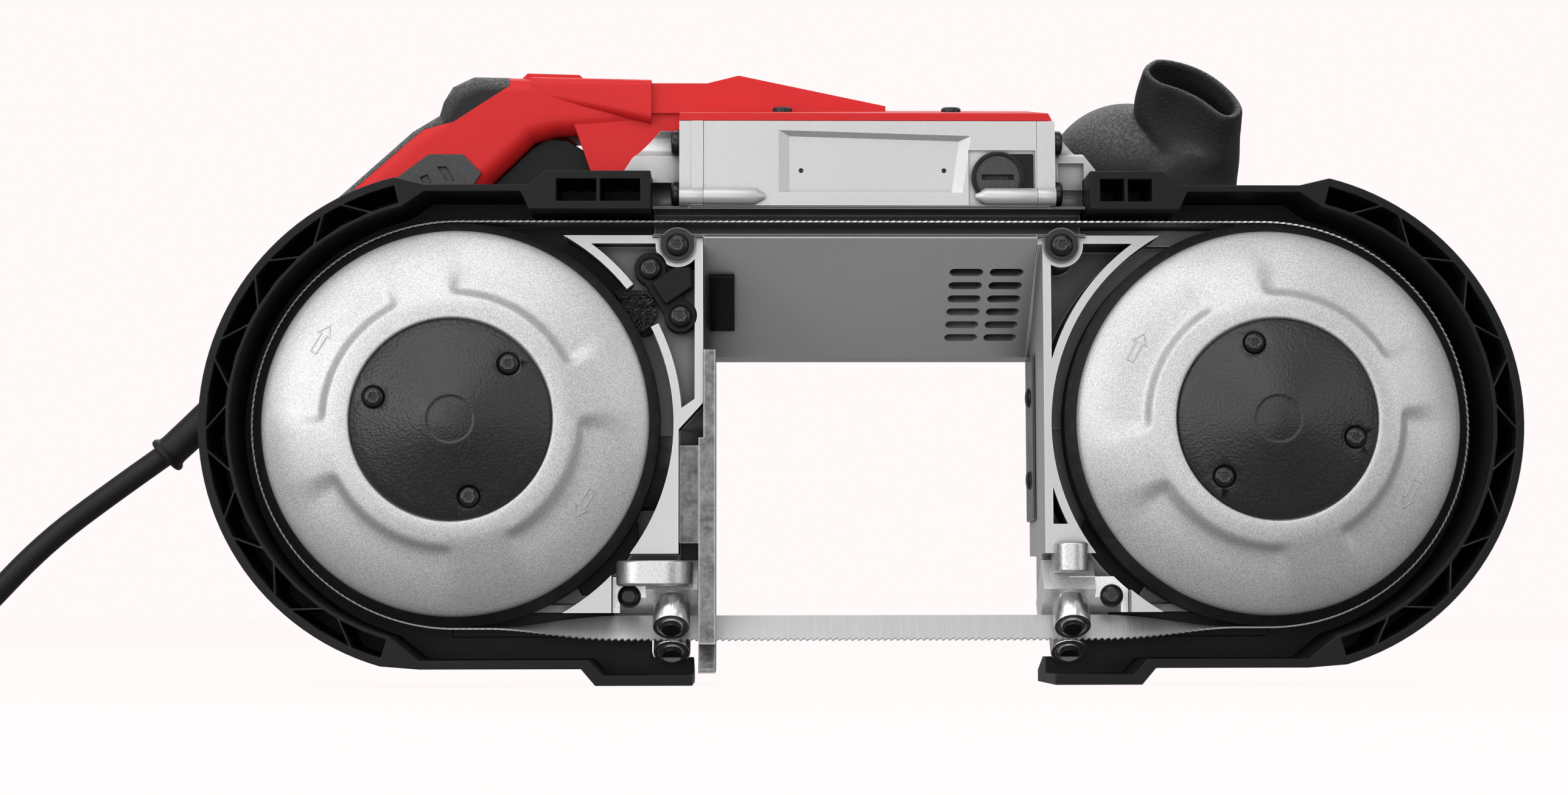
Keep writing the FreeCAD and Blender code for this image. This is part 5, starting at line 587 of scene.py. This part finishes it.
# X, depth of the crown, height, head radius and length of each screw that faces the wheel side
hub_screws = {
    "drive_hub_screws": ("drive_wheel_unit",
                         [(-137.01, -24.39, 123.29), (-188.63, -24.39, 110.51), (-151.75, -24.39, 72.20)]),
    "idler_hub_screws": ("idler_wheel_unit",
                         [(150.41, -24.39, 131.44), (138.00, -24.39, 79.73), (188.98, -24.39, 94.83)]),
}
frame_screws = [(-72.70, -5.99, 172.20), (-91.60, 3.41, 34.40), (-83.50, -1.39, 163.40),
                (-71.60, -1.39, 144.50), (78.70, -5.99, 172.20), (98.10, 3.41, 34.40)]
side_screws = [(68.5, 39.5, 81.75), (68.5, 39.5, 115.25)]


def button_screw(build, crown, inward, radius, length):
    """A domed head with a six-lobed socket on a plain shank, turned about its own axis."""
    side = Vector((inward.y, inward.x, 0))
    profile = [(SHANK_RADIUS, length, 0), (SHANK_RADIUS, 2.9, 0), (radius, 2.9, 0), (radius, 2.3, 0),
               (radius * 0.97, 1.7, 0), (radius * 0.88, 1.0, 0), (radius * 0.74, 0.45, 0),
               (radius * 0.58, 0.12, 0), (SOCKET_RADIUS + 0.25, 0.0, 0.5), (SOCKET_RADIUS, 0.2, 1),
               (SOCKET_RADIUS, 1.9, 1)]
    rows = []
    for reach, step, lobed in profile:
        ring = []
        for i in range(SCREW_STEPS):
            turn = 2 * math.pi * i / SCREW_STEPS
            spoke = reach + lobed * SOCKET_LOBE * math.cos(6 * turn)
            aside = side * (spoke * math.cos(turn)) + Vector((0, 0, spoke * math.sin(turn)))
            ring.append(build.verts.new(at(*(Vector(crown) + inward * step + aside))))
        rows.append(ring)
    bridge(build, rows)
    build.faces.new(rows[0])
    build.faces.new(rows[-1])


def screw_set(name, node, body, rows):
    """The screws that stand for one node, as one piece."""
    build = bmesh.new()
    for crown, inward, radius, length in rows:
        button_screw(build, crown, inward, radius, length)
    screws = new_piece(name, build, oxide, 35)
    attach(screws, body)
    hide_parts(node)


for node, (body, crowns) in hub_screws.items():
    screw_set("button_" + node, node, body, [(crown, Vector((0, 1, 0)), 4.3, 8.9) for crown in crowns])
screw_set("button_frame_screws", "frame_screws", "frame",
          [(crown, Vector((0, 1, 0)), 4.6, 10.6) for crown in frame_screws]
          + [(crown, Vector((1, 0, 0)), 4.6, 9.2) for crown in side_screws])
stop = Finish("dark_ground_steel", roughness=0.4, metallic=0.6)
# Edges lighter: partly wear, partly a painted highlight.
stop_worn_lit_edge = stop.edges(0.0012)
stop_tone = stop.blend(stop.noise(260, 6, 0.7).over(0.35, 0.65), grey(0.09), grey(0.24))
stop.feed("Base Color", stop.blend(stop_worn_lit_edge, stop_tone, grey(0.6)))
stop.feed("Roughness", 0.32 + stop.noise(700, 3) * 0.2)
stop.bump(stop.noise(900, 3), 0.00005)
dress("work_stop", stop, 0.0009)

# Turned steel
# Rollers, shafts, gears, bearings, armature and tension carriage: bright machined steel with a fine grain,
# held in seats inside the castings.
steel = Finish("bright_steel", roughness=0.24, metallic=0.95)
brush_lines = steel.noise(700, 3)
steel.feed("Base Color", steel.blend(brush_lines, grey(0.58), grey(0.78)))
steel.feed("Roughness", 0.16 + brush_lines * 0.16)
for name in ("rear_upper_roller", "rear_lower_roller", "front_upper_roller", "front_lower_roller"):
    dress(name, steel, 0.0004)
for name in ("drive_spindle", "crown_gear", "pinion_shaft", "counter_shaft", "gear_bearings", "idler_axle",
             "idler_bearings", "tension_carriage", "tension_spring", "armature", "motor_bearings"):
    dress(name, steel)

# Tension spring
# A compression spring of round bright wire that presses on the idler's carriage. It is wound about the line
# of the tension slide, as a fixed mesh on the frame that keeps one length.
SPRING_LEFT = 96.2
SPRING_RIGHT = 116.7
SPRING_DEPTH = 43.5
SPRING_RADIUS = 5.2
SPRING_WIRE = 1.1
SPRING_TURNS = 5
SPRING_STEPS = 32
WIRE_SIDES = 12


def wound_spring(finish):
    """Round wire wound about the tension slide's line."""
    build = bmesh.new()
    steps = SPRING_STEPS * SPRING_TURNS
    length = SPRING_RIGHT - SPRING_LEFT
    rows = []
    for i in range(steps + 1):
        turn = 2 * math.pi * SPRING_TURNS * i / steps
        out = Vector((0, math.cos(turn), math.sin(turn)))
        middle = Vector((SPRING_LEFT + length * i / steps, SPRING_DEPTH, AXLE_Z)) + out * SPRING_RADIUS
        ring = []
        for k in range(WIRE_SIDES):
            corner = 2 * math.pi * k / WIRE_SIDES
            spoke = out * math.cos(corner) + Vector((math.sin(corner), 0, 0))
            ring.append(build.verts.new(at(*(middle + spoke * SPRING_WIRE))))
        rows.append(ring)
    bridge(build, rows)
    build.faces.new(rows[0])
    build.faces.new(rows[-1])
    return new_piece("wound_spring", build, finish, 50)


spring = wound_spring(steel)
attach(spring, "frame")
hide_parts("tension_spring")
tuple(at(SPRING_LEFT - SPRING_WIRE, SPRING_DEPTH, AXLE_Z))
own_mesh(spring)

# Guide brackets
# Blasted steel brackets that carry the roller pins, whose heads are black. A drawn sheet cap is pushed over
# each bracket and shows a soft highlight.
shot = Finish("blasted_steel", roughness=0.3, metallic=0.45)
shot_grain = shot.noise(1300, 3)
# Edges lighter: partly wear, partly a painted highlight.
shot_worn_lit_edge = shot.edges(0.0012)
shot_tone = shot.blend(shot_grain.over(0.3, 0.7), grey(0.62), grey(0.85))
shot_skin = shot.blend(shot_worn_lit_edge * 0.7, shot_tone, grey(0.92))
shot_depth = shot.node("ShaderNodeSeparateXYZ", None, {0: shot.place()}, "Y") - TOOTH
shot_low = shot.node("ShaderNodeSeparateXYZ", None, {0: shot.place()}, "Z").over(0.0225, 0.0215)
shot_pins = (shot_depth - shot_low * 0.009).over(-0.0012, -0.0008)
shot.feed("Base Color", shot.blend(shot_pins, grey(0.02), shot_skin))
shot.feed("Roughness", 0.24 + shot_grain * 0.14)
shot.bump(shot_grain, 0.00006)
for name in ("rear_guide_bracket", "front_guide_bracket"):
    dress(name, shot, 0.0014, 4)
# Left and right side, low and high edge, front and corner radius of the sheet cap over each guide's bracket
guide_caps = {
    "rear_guide_cap": (-96.6, -66.6, 38.4, 48.3, -8.0, 11.5),
    "front_guide_cap": (74.8, 88.0, 43.3, 55.2, -8.0, 6.4),
}
GUIDE_CAP_BACK = 11.0
GUIDE_CAP_STEPS = 12


def guide_cap(name, finish, left, right, low, high, front, radius):
    """A drawn sheet cap with round front corners, pushed over the bracket."""
    build = bmesh.new()
    plan = [(right, GUIDE_CAP_BACK), (left, GUIDE_CAP_BACK)]
    for middle, start in ((left + radius, 180), (right - radius, 270)):
        for k in range(GUIDE_CAP_STEPS + 1):
            turn = math.radians(start + 90 / GUIDE_CAP_STEPS * k)
            plan.append((middle + radius * math.cos(turn), front + radius + radius * math.sin(turn)))
    rows = [[build.verts.new(at(x, depth, z)) for x, depth in plan] for z in (low, high)]
    bridge(build, rows)
    build.faces.new(rows[0])
    build.faces.new(rows[1])
    cap = new_piece(name, build, finish, 30)
    soft_edges(cap, 0.0012, 3)
    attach(cap, "frame")


drawn = Finish("drawn_steel", roughness=0.36, metallic=0.85)
drawn_grain = drawn.noise(1100, 3)
drawn.feed("Base Color", drawn.blend(drawn_grain.over(0.3, 0.7), grey(0.42), grey(0.60)))
drawn.feed("Roughness", 0.3 + drawn_grain * 0.14)
drawn.bump(drawn_grain, 0.00005)
for name, sizes in guide_caps.items():
    guide_cap(name, drawn, *sizes)

# Blade
# A welded spring-steel loop with milled teeth along one edge. It runs round both tyres and shows faint
# streaks from rolling.
BAND_STRETCH = (900.0, 60.0, 60.0)
band = Finish("spring_steel_band", roughness=0.34, metallic=0.55)
stretch = band.node("ShaderNodeVectorMath", {"operation": "MULTIPLY"}, {0: band.place(), 1: BAND_STRETCH})
streak = band.noise(1.0, 3, 0.6, stretch)
band.feed("Base Color", band.blend(streak.over(0.2, 0.8), grey(0.50), grey(0.58)))
band.feed("Roughness", 0.33 + streak * 0.06)
dress("blade", band)

# Brush cap rings
# A moulded black rim stands round each slotted brush cap. Beside the front cap a thin black plate fills
# one corner of the housing's pocket as a painted shadow, standing in for the shade there.
BRUSH_CAP_X = 53.6
BRUSH_CAP_Z = 199.0
BRUSH_CAP_FRONT = -4.8
BRUSH_CAP_REAR = 84.8
RIM_STEPS = 64
cap_rim = [(10.2, 1.6), (10.2, 0.1), (9.9, -0.4), (9.3, -0.6), (8.8, -0.4), (8.6, 0.1), (8.6, 1.6)]


def cap_ring(name, face, outward):
    """A rim turned about a cap's axis, a little proud of its face."""
    build = bmesh.new()
    rows = []
    for radius, step in cap_rim:
        depth = face - outward * step
        row = []
        for i in range(RIM_STEPS):
            turn = 2 * math.pi * i / RIM_STEPS
            spot = at(BRUSH_CAP_X + radius * math.cos(turn), depth, BRUSH_CAP_Z + radius * math.sin(turn))
            row.append(build.verts.new(spot))
        rows.append(row)
    bridge(build, rows + rows[:1])
    ring = new_piece(name, build, black, 35)
    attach(ring, "frame")


# Painted shadow: a black plate where one corner of the pocket lies in shade.
pocket_shadow_corners = [(4.5, 9.5), (14.2, 9.5), (14.2, -7.0), (4.5, -7.0)]
pocket_shadow_line = [(BRUSH_CAP_X + x, BRUSH_CAP_Z + z) for x, z in pocket_shadow_corners]
pocket_shadow = cut_plate("painted_pocket_shadow", pocket_shadow_line, -3.9, -3.0, black, 0.0003)
cap_ring("front_cap_ring", BRUSH_CAP_FRONT, -1)
cap_ring("rear_cap_ring", BRUSH_CAP_REAR, 1)

# Blade channel and arm plate
# Gloss-black painted steel strip, bent to a C round the upper blade run and screwed down by its tabs.
# The arm plate beside the throat has the same paint.
gloss = Finish("gloss_black_paint", roughness=0.18, specular=0.3)
ripple = gloss.noise(90, 3)
# Painted highlight: the edges of the gloss black paint are lightened.
gloss.feed("Base Color", gloss.blend(gloss.edges(0.0011), grey(0.008), grey(0.30)))
gloss.feed("Roughness", 0.14 + ripple * 0.16)
gloss.bump(ripple, 0.00005)
for name in ("blade_channel", "arm_plate"):
    dress(name, gloss, 0.0003)

# Copper and lens
# Commutator, brush tubes and plug prongs in copper alloy, a little tarnished; the work light has a dark
# lens, set in the underside of the housing.
copper = Finish("copper_alloy", roughness=0.3, metallic=1.0)
tarnish = copper.noise(60, 4)
copper.feed("Base Color", copper.blend(tarnish, (0.62, 0.34, 0.17, 1), (0.74, 0.5, 0.28, 1)))
copper.feed("Roughness", 0.24 + tarnish * 0.2)
for name in ("commutator", "brush_holders", "plug_prongs"):
    dress(name, copper)
dark_lens = Finish("dark_lens", roughness=0.2, specular=0.2)
dark_lens.feed("Base Color", dark_lens.blend(dark_lens.noise(40), grey(0.004), grey(0.010)))
dress("work_light", dark_lens, 0.0003)

# Front handle
# A hollow rubber horn for the second hand, moulded in one piece with the round dome that it grows out of.
# Its mouth is bean-shaped with a thick lip. It is pushed over the top of the front frame and sits on it.
# Each row is a section: X, depth and height of its middle, half length and width, tilt, roll, share of bean
horn_rows = [(129.5, 51.0, 197.0, 28.5, 25.5, 0, 0, 0), (131.5, 49.0, 207.0, 26.8, 24.6, 4, 2, 0),
             (137.0, 43.0, 217.5, 21.8, 21.5, 16, 8, 0.15), (135.8, 33.5, 229.6, 22.8, 16.0, 35, 17, 0.65),
             (136.5, 22.9, 239.4, 21.7, 11.5, 50, 23.2, 1)]
horn_mouth = [(-21.3, 0.7), (-18.8, 8.1), (-14.1, 11.9), (-4.5, 14.6), (5.4, 13.7), (14.7, 8.7),
              (20.4, 1.6), (19.8, -4.4), (16.8, -8.2), (12.3, -9.3), (3.4, -5.7), (-5.3, -4.9),
              (-13.4, -6.1), (-18.6, -3.9)]
DOME = (113.8, 60.5, 206.6)
DOME_RADIUS = 34.4
HORN_LIP = 2.7
HORN_FLOOR = 197.3
HORN_VOXEL = 0.0008
LIP_REACH = 0.027
EASE_ROUNDS = 28
LAST_ROUNDS = 3
# The bean of the mouth: half length, half width, and middle and half width of the ellipse round it
BEAN_LONG = 20.8
BEAN_WIDE = 11.0
BEAN_MIDDLE = 2
BEAN_ROUND = 10.5
# Width and lift of each ring over the lip and down the inside of the mouth
lip_rings = [(-0.7, 0.7), (-1.6, 0.9), (-HORN_LIP + 0.6, 0.6), (-HORN_LIP, -0.4), (-HORN_LIP - 0.3, -6)]
# A point and the outward normal of each plane that trims the rubber on the frame and the housing
horn_trims = [((0, 0, HORN_FLOOR), (0, 0, -1)), ((0, 76, 0), (0, 1, 0)), ((93.6, 0, 203.8), (-1, 0, -0.78)),
              ((85.8, 0, 0), (-1, 0, 0))]


def through(points, steps, closed):
    """Points on a smooth curve through the given ones."""
    count = len(points)
    curve = []
    for i in range(count if closed else count - 1):
        picks = [(i + k) % count if closed else min(max(i + k, 0), count - 1) for k in (-1, 0, 1, 2)]
        for k in range(steps):
            t = k / steps
            weights = (-t + 2 * t ** 2 - t ** 3, 2 - 5 * t ** 2 + 3 * t ** 3,
                       t + 4 * t ** 2 - 3 * t ** 3, t ** 3 - t ** 2)
            spot = []
            for j in range(len(points[i])):
                spot.append(sum(w * points[p][j] for w, p in zip(weights, picks)) / 2)
            curve.append(spot)
    return curve if closed else curve + [list(points[-1])]


def horn_ring(build, row, loop, shrink=1.0, lift=0.0):
    """One section of the horn, between an ellipse and the bean of its mouth."""
    x, depth, z, long_half, wide_half, tilt, roll, bean = row
    lean = math.radians(roll)
    tip = math.radians(tilt)
    along = Vector((math.cos(lean), 0, -math.sin(lean)))
    across = Vector((math.sin(lean) * math.sin(tip), math.cos(tip), math.cos(lean) * math.sin(tip)))
    middle = Vector((x, depth, z)) + along.cross(across) * lift
    ring = []
    for u, w in loop:
        angle = math.atan2((w - BEAN_MIDDLE) / BEAN_ROUND, u / BEAN_LONG)
        long_way = (1 - bean) * long_half * math.cos(angle) + bean * u * long_half / BEAN_LONG
        wide_way = (1 - bean) * wide_half * math.sin(angle) + bean * w * wide_half / BEAN_WIDE
        ring.append(build.verts.new(at(*(middle + along * long_way * shrink + across * wide_way * shrink))))
    return ring


def horn_block():
    """The horn and the dome as closed, crossing shells."""
    build = bmesh.new()
    loop = [Vector(point) for point in through(horn_mouth, 6, True)]
    rings = [horn_ring(build, row, loop) for row in through(horn_rows, 6, False)]
    mouth = horn_rows[-1]
    for width, lift in lip_rings:
        rings.append(horn_ring(build, mouth, offset_ring(loop, width), 1.0, lift))
    rings.append(horn_ring(build, horn_rows[-2], loop, 0.72))
    rings.append(horn_ring(build, horn_rows[-3], loop, 0.6))
    bridge(build, rings)
    build.faces.new(rings[0])
    build.faces.new(rings[-1])
    bmesh.ops.recalc_face_normals(build, faces=build.faces)
    ball = Matrix.Translation(at(*DOME))
    bmesh.ops.create_uvsphere(build, u_segments=72, v_segments=36, radius=DOME_RADIUS / 1000, matrix=ball)
    mesh = bpy.data.meshes.new("horn_block")
    build.to_mesh(mesh)
    build.free()
    return mesh


def rubber_horn(finish):
    """The shells melted together, eased where they meet, and trimmed on the frame."""
    block = bpy.data.objects.new("horn_block", horn_block())
    bpy.context.collection.objects.link(block)
    melt = block.modifiers.new("melt", "REMESH")
    melt.mode = "VOXEL"
    melt.voxel_size = HORN_VOXEL
    bpy.context.view_layer.update()
    mesh = bpy.data.meshes.new_from_object(block.evaluated_get(bpy.context.evaluated_depsgraph_get()))
    build = bmesh.new()
    build.from_mesh(mesh)
    bpy.data.objects.remove(block)
    lip = at(*horn_rows[-1][:3])
    away = [v for v in build.verts if (v.co - lip).length > LIP_REACH]
    axes = {"use_axis_x": True, "use_axis_y": True, "use_axis_z": True}
    for rounds, verts in ((EASE_ROUNDS, away), (LAST_ROUNDS, list(build.verts))):
        for _ in range(rounds):
            bmesh.ops.smooth_vert(build, verts=verts, factor=0.5, **axes)
    for spot, normal in horn_trims:
        geometry = list(build.verts) + list(build.edges) + list(build.faces)
        cut = bmesh.ops.bisect_plane(build, geom=geometry, dist=JOIN_REACH, plane_co=at(*spot),
                                     plane_no=normal, clear_outer=True)
        rim = [edge for edge in cut["geom_cut"] if isinstance(edge, bmesh.types.BMEdge)]
        bmesh.ops.holes_fill(build, edges=rim, sides=0)
    return new_piece("rubber_horn", build, finish, 50)


horn = rubber_horn(rubber)
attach(horn, "frame")
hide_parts("front_handle")

# Chip brush tuft
# Stiff black nylon bristles, set in the holder's slot and fanned out so that their tips sweep chips off the
# tyre. A moulded block clamps their roots on the holder.
tuft_roots = ((-82.9, 154.0), (-81.0, 145.2))
tuft_tips = [(-96.4, 153.6), (-96.0, 149.4), (-93.6, 144.4), (-90.6, 140.6), (-87.6, 137.9), (-85.2, 139.6)]
TUFT_FRONT = 2.6
TUFT_BACK = 8.4
TUFT_COUNT = 190
HAIR_RADIUS = 0.17


def bristle_tuft(finish):
    """Bristles with four sides each, thinner towards their tips."""
    build = bmesh.new()
    chance = random.Random(7)
    fan = through(tuft_tips, 12, False)
    for i in range(TUFT_COUNT):
        share = (i + chance.random()) / TUFT_COUNT
        along = min(1, max(0, share + chance.uniform(-0.06, 0.06)))
        root = Vector(tuft_roots[0]).lerp(Vector(tuft_roots[1]), along)
        tip = Vector(fan[min(len(fan) - 1, int(share * len(fan)))])
        tip = root.lerp(tip, chance.uniform(0.82, 1.0))
        bow = Vector((root.y - tip.y, tip.x - root.x)) * chance.uniform(-0.10, 0.10)
        depth = chance.uniform(TUFT_FRONT, TUFT_BACK)
        drift = chance.uniform(-0.9, 0.9)
        rows = []
        for k in range(6):
            t = k / 5
            spot = root.lerp(tip, t) + bow * (4 * t * (1 - t))
            radius = HAIR_RADIUS * (1 - 0.55 * t)
            ring = []
            for corner in range(4):
                turn = math.pi / 2 * corner
                lift = (tip - root).normalized() * (radius * math.cos(turn))
                deep = depth + drift * t + radius * math.sin(turn)
                ring.append(build.verts.new(at(spot.x - lift.y, deep, spot.y + lift.x)))
            rows.append(ring)
        bridge(build, rows)
        build.faces.new(rows[0])
        build.faces.new(rows[-1])
    return new_piece("bristle_tuft", build, finish, 60)


hair = Finish("black_bristle", roughness=0.32, specular=0.5)
hair.feed("Base Color", hair.blend(hair.noise(1400, 2).over(0.45, 0.7), grey(0.003), grey(0.16)))
hair.feed("Roughness", 0.26 + hair.noise(900, 2) * 0.2)
dress("chip_brush_bristles", black)
tuft = bristle_tuft(hair)
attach(tuft, "frame")
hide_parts("chip_brush_bristles")
block_line = [(-83.1, 157.3), (-73.4, 163.8), (-67.4, 163.8), (-66.8, 155.7), (-77.3, 148.6),
              (-78.6, 150.4)]
block = cut_plate("brush_holder_block", block_line, -2.2, 5.0, black, 0.0009)

# Cord and plug
# Round jacketed mains lead, 2.44 m: it hangs from the strain relief, meets the floor out of view and is
# wound into a neat two-layer coil that ends in a moulded plug.
CORD_DIAMETER = 9.3
CORD_DEPTH = 42.0
COIL_PITCH = 9.95
COIL_QUARTERS = 26
COIL_STEPS = 6
COIL_START = math.radians(45)
LEAD_LENGTH = 184.2
CORD_LENGTH = 2440.0
TAIL_SPREAD = 21.0
coil_radius = (CORD_LENGTH - LEAD_LENGTH) / (math.pi / 2 * COIL_QUARTERS) + COIL_PITCH * COIL_QUARTERS / 16
lead_points = [
    (-278.44, CORD_DEPTH, 94.82),
    (-302.0, 42.0, 78.0),
    (-330.0, 42.0, 56.6),
    (-354.0, 42.5, 31.0),
    (-375.0, 48.0, 10.0),
    (-398.0, 66.0, CORD_DIAMETER / 2),
]
coil_entry = (-418.0, 86.0)


def coil_point(quarter):
    """Inwards on the floor, up in the turn where it reverses, then outwards on the first layer."""
    reverse = COIL_QUARTERS / 2
    radius = coil_radius - COIL_PITCH / 4 * (min(quarter, reverse) - max(0, quarter - reverse))
    radius += TAIL_SPREAD * max(0, quarter - COIL_QUARTERS + 1) ** 2
    lift = min(1.0, max(0.0, (quarter - reverse + 1) / 2))
    lift = lift * lift * (3 - 2 * lift)
    angle = COIL_START + math.pi / 2 * quarter
    return (coil_entry[0] + radius * math.cos(angle) - coil_radius * math.cos(COIL_START),
            coil_entry[1] + radius * math.sin(angle) - coil_radius * math.sin(COIL_START),
            CORD_DIAMETER / 2 + COIL_PITCH * lift)


def cord_curve():
    """One spline along the lead and the coil, with the cord's round section."""
    turns = [coil_point(i / COIL_STEPS) for i in range(COIL_STEPS * COIL_QUARTERS + 1)]
    end = Vector(turns[-1])
    tail = end + (end - Vector(turns[-2])).normalized() * CORD_DIAMETER
    points = lead_points + turns + [tuple(tail)]
    curve = bpy.data.curves.new("mains_cord", "CURVE")
    curve.dimensions = "3D"
    curve.bevel_depth = CORD_DIAMETER / 2000
    curve.bevel_resolution = 5
    curve.use_fill_caps = True
    line = curve.splines.new("NURBS")
    line.points.add(len(points) - 1)
    for spot, (x, depth, z) in zip(line.points, points):
        spot.co = (*at(x, depth, z), 1)
    line.order_u = 3
    line.use_endpoint_u = True
    line.resolution_u = 6
    cord = bpy.data.objects.new("mains_cord", curve)
    bpy.context.collection.objects.link(cord)
    return cord


jacket = Finish("cord_jacket", roughness=0.5, specular=0.22)
jacket_grain = jacket.noise(700, 3)
jacket.feed("Base Color", jacket.blend(jacket.noise(25, 3), grey(0.006), grey(0.012)))
jacket.feed("Roughness", 0.42 + jacket_grain * 0.2)
jacket.bump(jacket_grain, 0.00005)
cord = cord_curve()
cord.data.materials.append(jacket.material)
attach(cord, "frame")
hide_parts("cord_lead", "cord_coil")
dress("plug_body", jacket, 0.0008, 3)

# Strain relief
# A moulded sleeve of the cord's own black compound, with a rolled collar. It is turned about the line on
# which the cord comes out and is held in the end of the handle.
sleeve_line = [(14.0, 4.8), (1.0, 5.4), (-0.3, 5.7), (-0.9, 6.4), (-0.9, 7.2), (-0.4, 7.8), (0.5, 8.0),
               (1.4, 7.8), (2.0, 7.2), (2.6, 6.7), (4.0, 6.5), (14.0, 6.6), (27.0, 6.9), (42.0, 7.3),
               (49.0, 7.5), (49.4, 6.8), (49.4, 4.8)]
SLEEVE_FOOT = (-281.2, CORD_DEPTH, 92.1)
SLEEVE_AIM = (0.727, 0, 0.686)
SLEEVE_STEPS = 48


def relief_sleeve(finish):
    """A moulded sleeve with a rolled collar, turned about the line on which the cord comes out."""
    build = bmesh.new()
    foot = Vector(SLEEVE_FOOT)
    line = Vector(SLEEVE_AIM).normalized()
    side = Vector((-line.z, 0, line.x))
    rows = []
    for step, radius in sleeve_line:
        ring = []
        for i in range(SLEEVE_STEPS):
            turn = 2 * math.pi * i / SLEEVE_STEPS
            spoke = side * (radius * math.cos(turn)) + Vector((0, radius * math.sin(turn), 0))
            ring.append(build.verts.new(at(*(foot + line * step + spoke))))
        rows.append(ring)
    bridge(build, rows + rows[:1])
    return new_piece("relief_sleeve", build, finish, 50)


sleeve = relief_sleeve(jacket)
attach(sleeve, "frame")
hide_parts("strain_relief")

# Coil tie
# A black hook-and-loop strap of woven webbing that goes once round the coil's bundle. Its free end is
# pressed down on top of it.
TIE_TURN = math.radians(300)
TIE_INSIDE = 38.8
TIE_OUTSIDE = 69.3
TIE_LOW = 1.1
TIE_HIGH = 19.3
TIE_CORNER = 4.4
TIE_THICK = 1.0
TIE_WIDTH = 8.0
TIE_STEPS = 6
tie_flap = [(67.0, 20.2), (58.0, 20.5), (50.0, 20.9), (46.0, 21.5)]


def coil_tie(finish):
    """A hook-and-loop strap round the coil's bundle, with its free end pressed down on top."""
    build = bmesh.new()
    middle = Vector((coil_entry[0], coil_entry[1], 0))
    middle -= Vector((math.cos(COIL_START), math.sin(COIL_START), 0)) * coil_radius
    spoke = Vector((math.cos(TIE_TURN), math.sin(TIE_TURN), 0))
    along = Vector((-spoke.y, spoke.x, 0))
    corners = [(TIE_OUTSIDE - TIE_CORNER, TIE_HIGH - TIE_CORNER),
               (TIE_INSIDE + TIE_CORNER, TIE_HIGH - TIE_CORNER),
               (TIE_INSIDE + TIE_CORNER, TIE_LOW + TIE_CORNER),
               (TIE_OUTSIDE - TIE_CORNER, TIE_LOW + TIE_CORNER)]

    def strap(rows):
        return [[build.verts.new(at(*(middle + spoke * reach + along * aside + Vector((0, 0, height)))))
                 for reach, aside, height in row] for row in rows]

    loop = []
    for thick, aside in ((0, -1), (TIE_THICK, -1), (TIE_THICK, 1), (0, 1)):
        row = []
        for i, (reach, height) in enumerate(corners):
            for k in range(TIE_STEPS + 1):
                turn = math.pi / 2 * (i + k / TIE_STEPS)
                bend = TIE_CORNER + thick
                row.append((reach + bend * math.cos(turn), aside * TIE_WIDTH / 2,
                            height + bend * math.sin(turn)))
        loop.append(row)
    loop = strap(loop)
    bridge(build, loop + loop[:1])
    half = TIE_WIDTH / 2
    flap = strap([[(reach, -half, height), (reach, half, height), (reach, half, height + TIE_THICK),
                   (reach, -half, height + TIE_THICK)] for reach, height in tie_flap])
    bridge(build, flap)
    build.faces.new(flap[0])
    build.faces.new(flap[-1])
    return new_piece("coil_tie", build, finish, 35)


webbing = Finish("woven_webbing", roughness=0.75, specular=0.15)
weave = webbing.noise(1600, 2)
webbing.feed("Base Color", webbing.blend(weave.over(0.35, 0.65), grey(0.012), grey(0.05)))
webbing.feed("Roughness", 0.66 + weave * 0.2)
webbing.bump(weave, 0.0002)
tie = coil_tie(webbing)
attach(tie, "frame")
at(*lead_points[0])
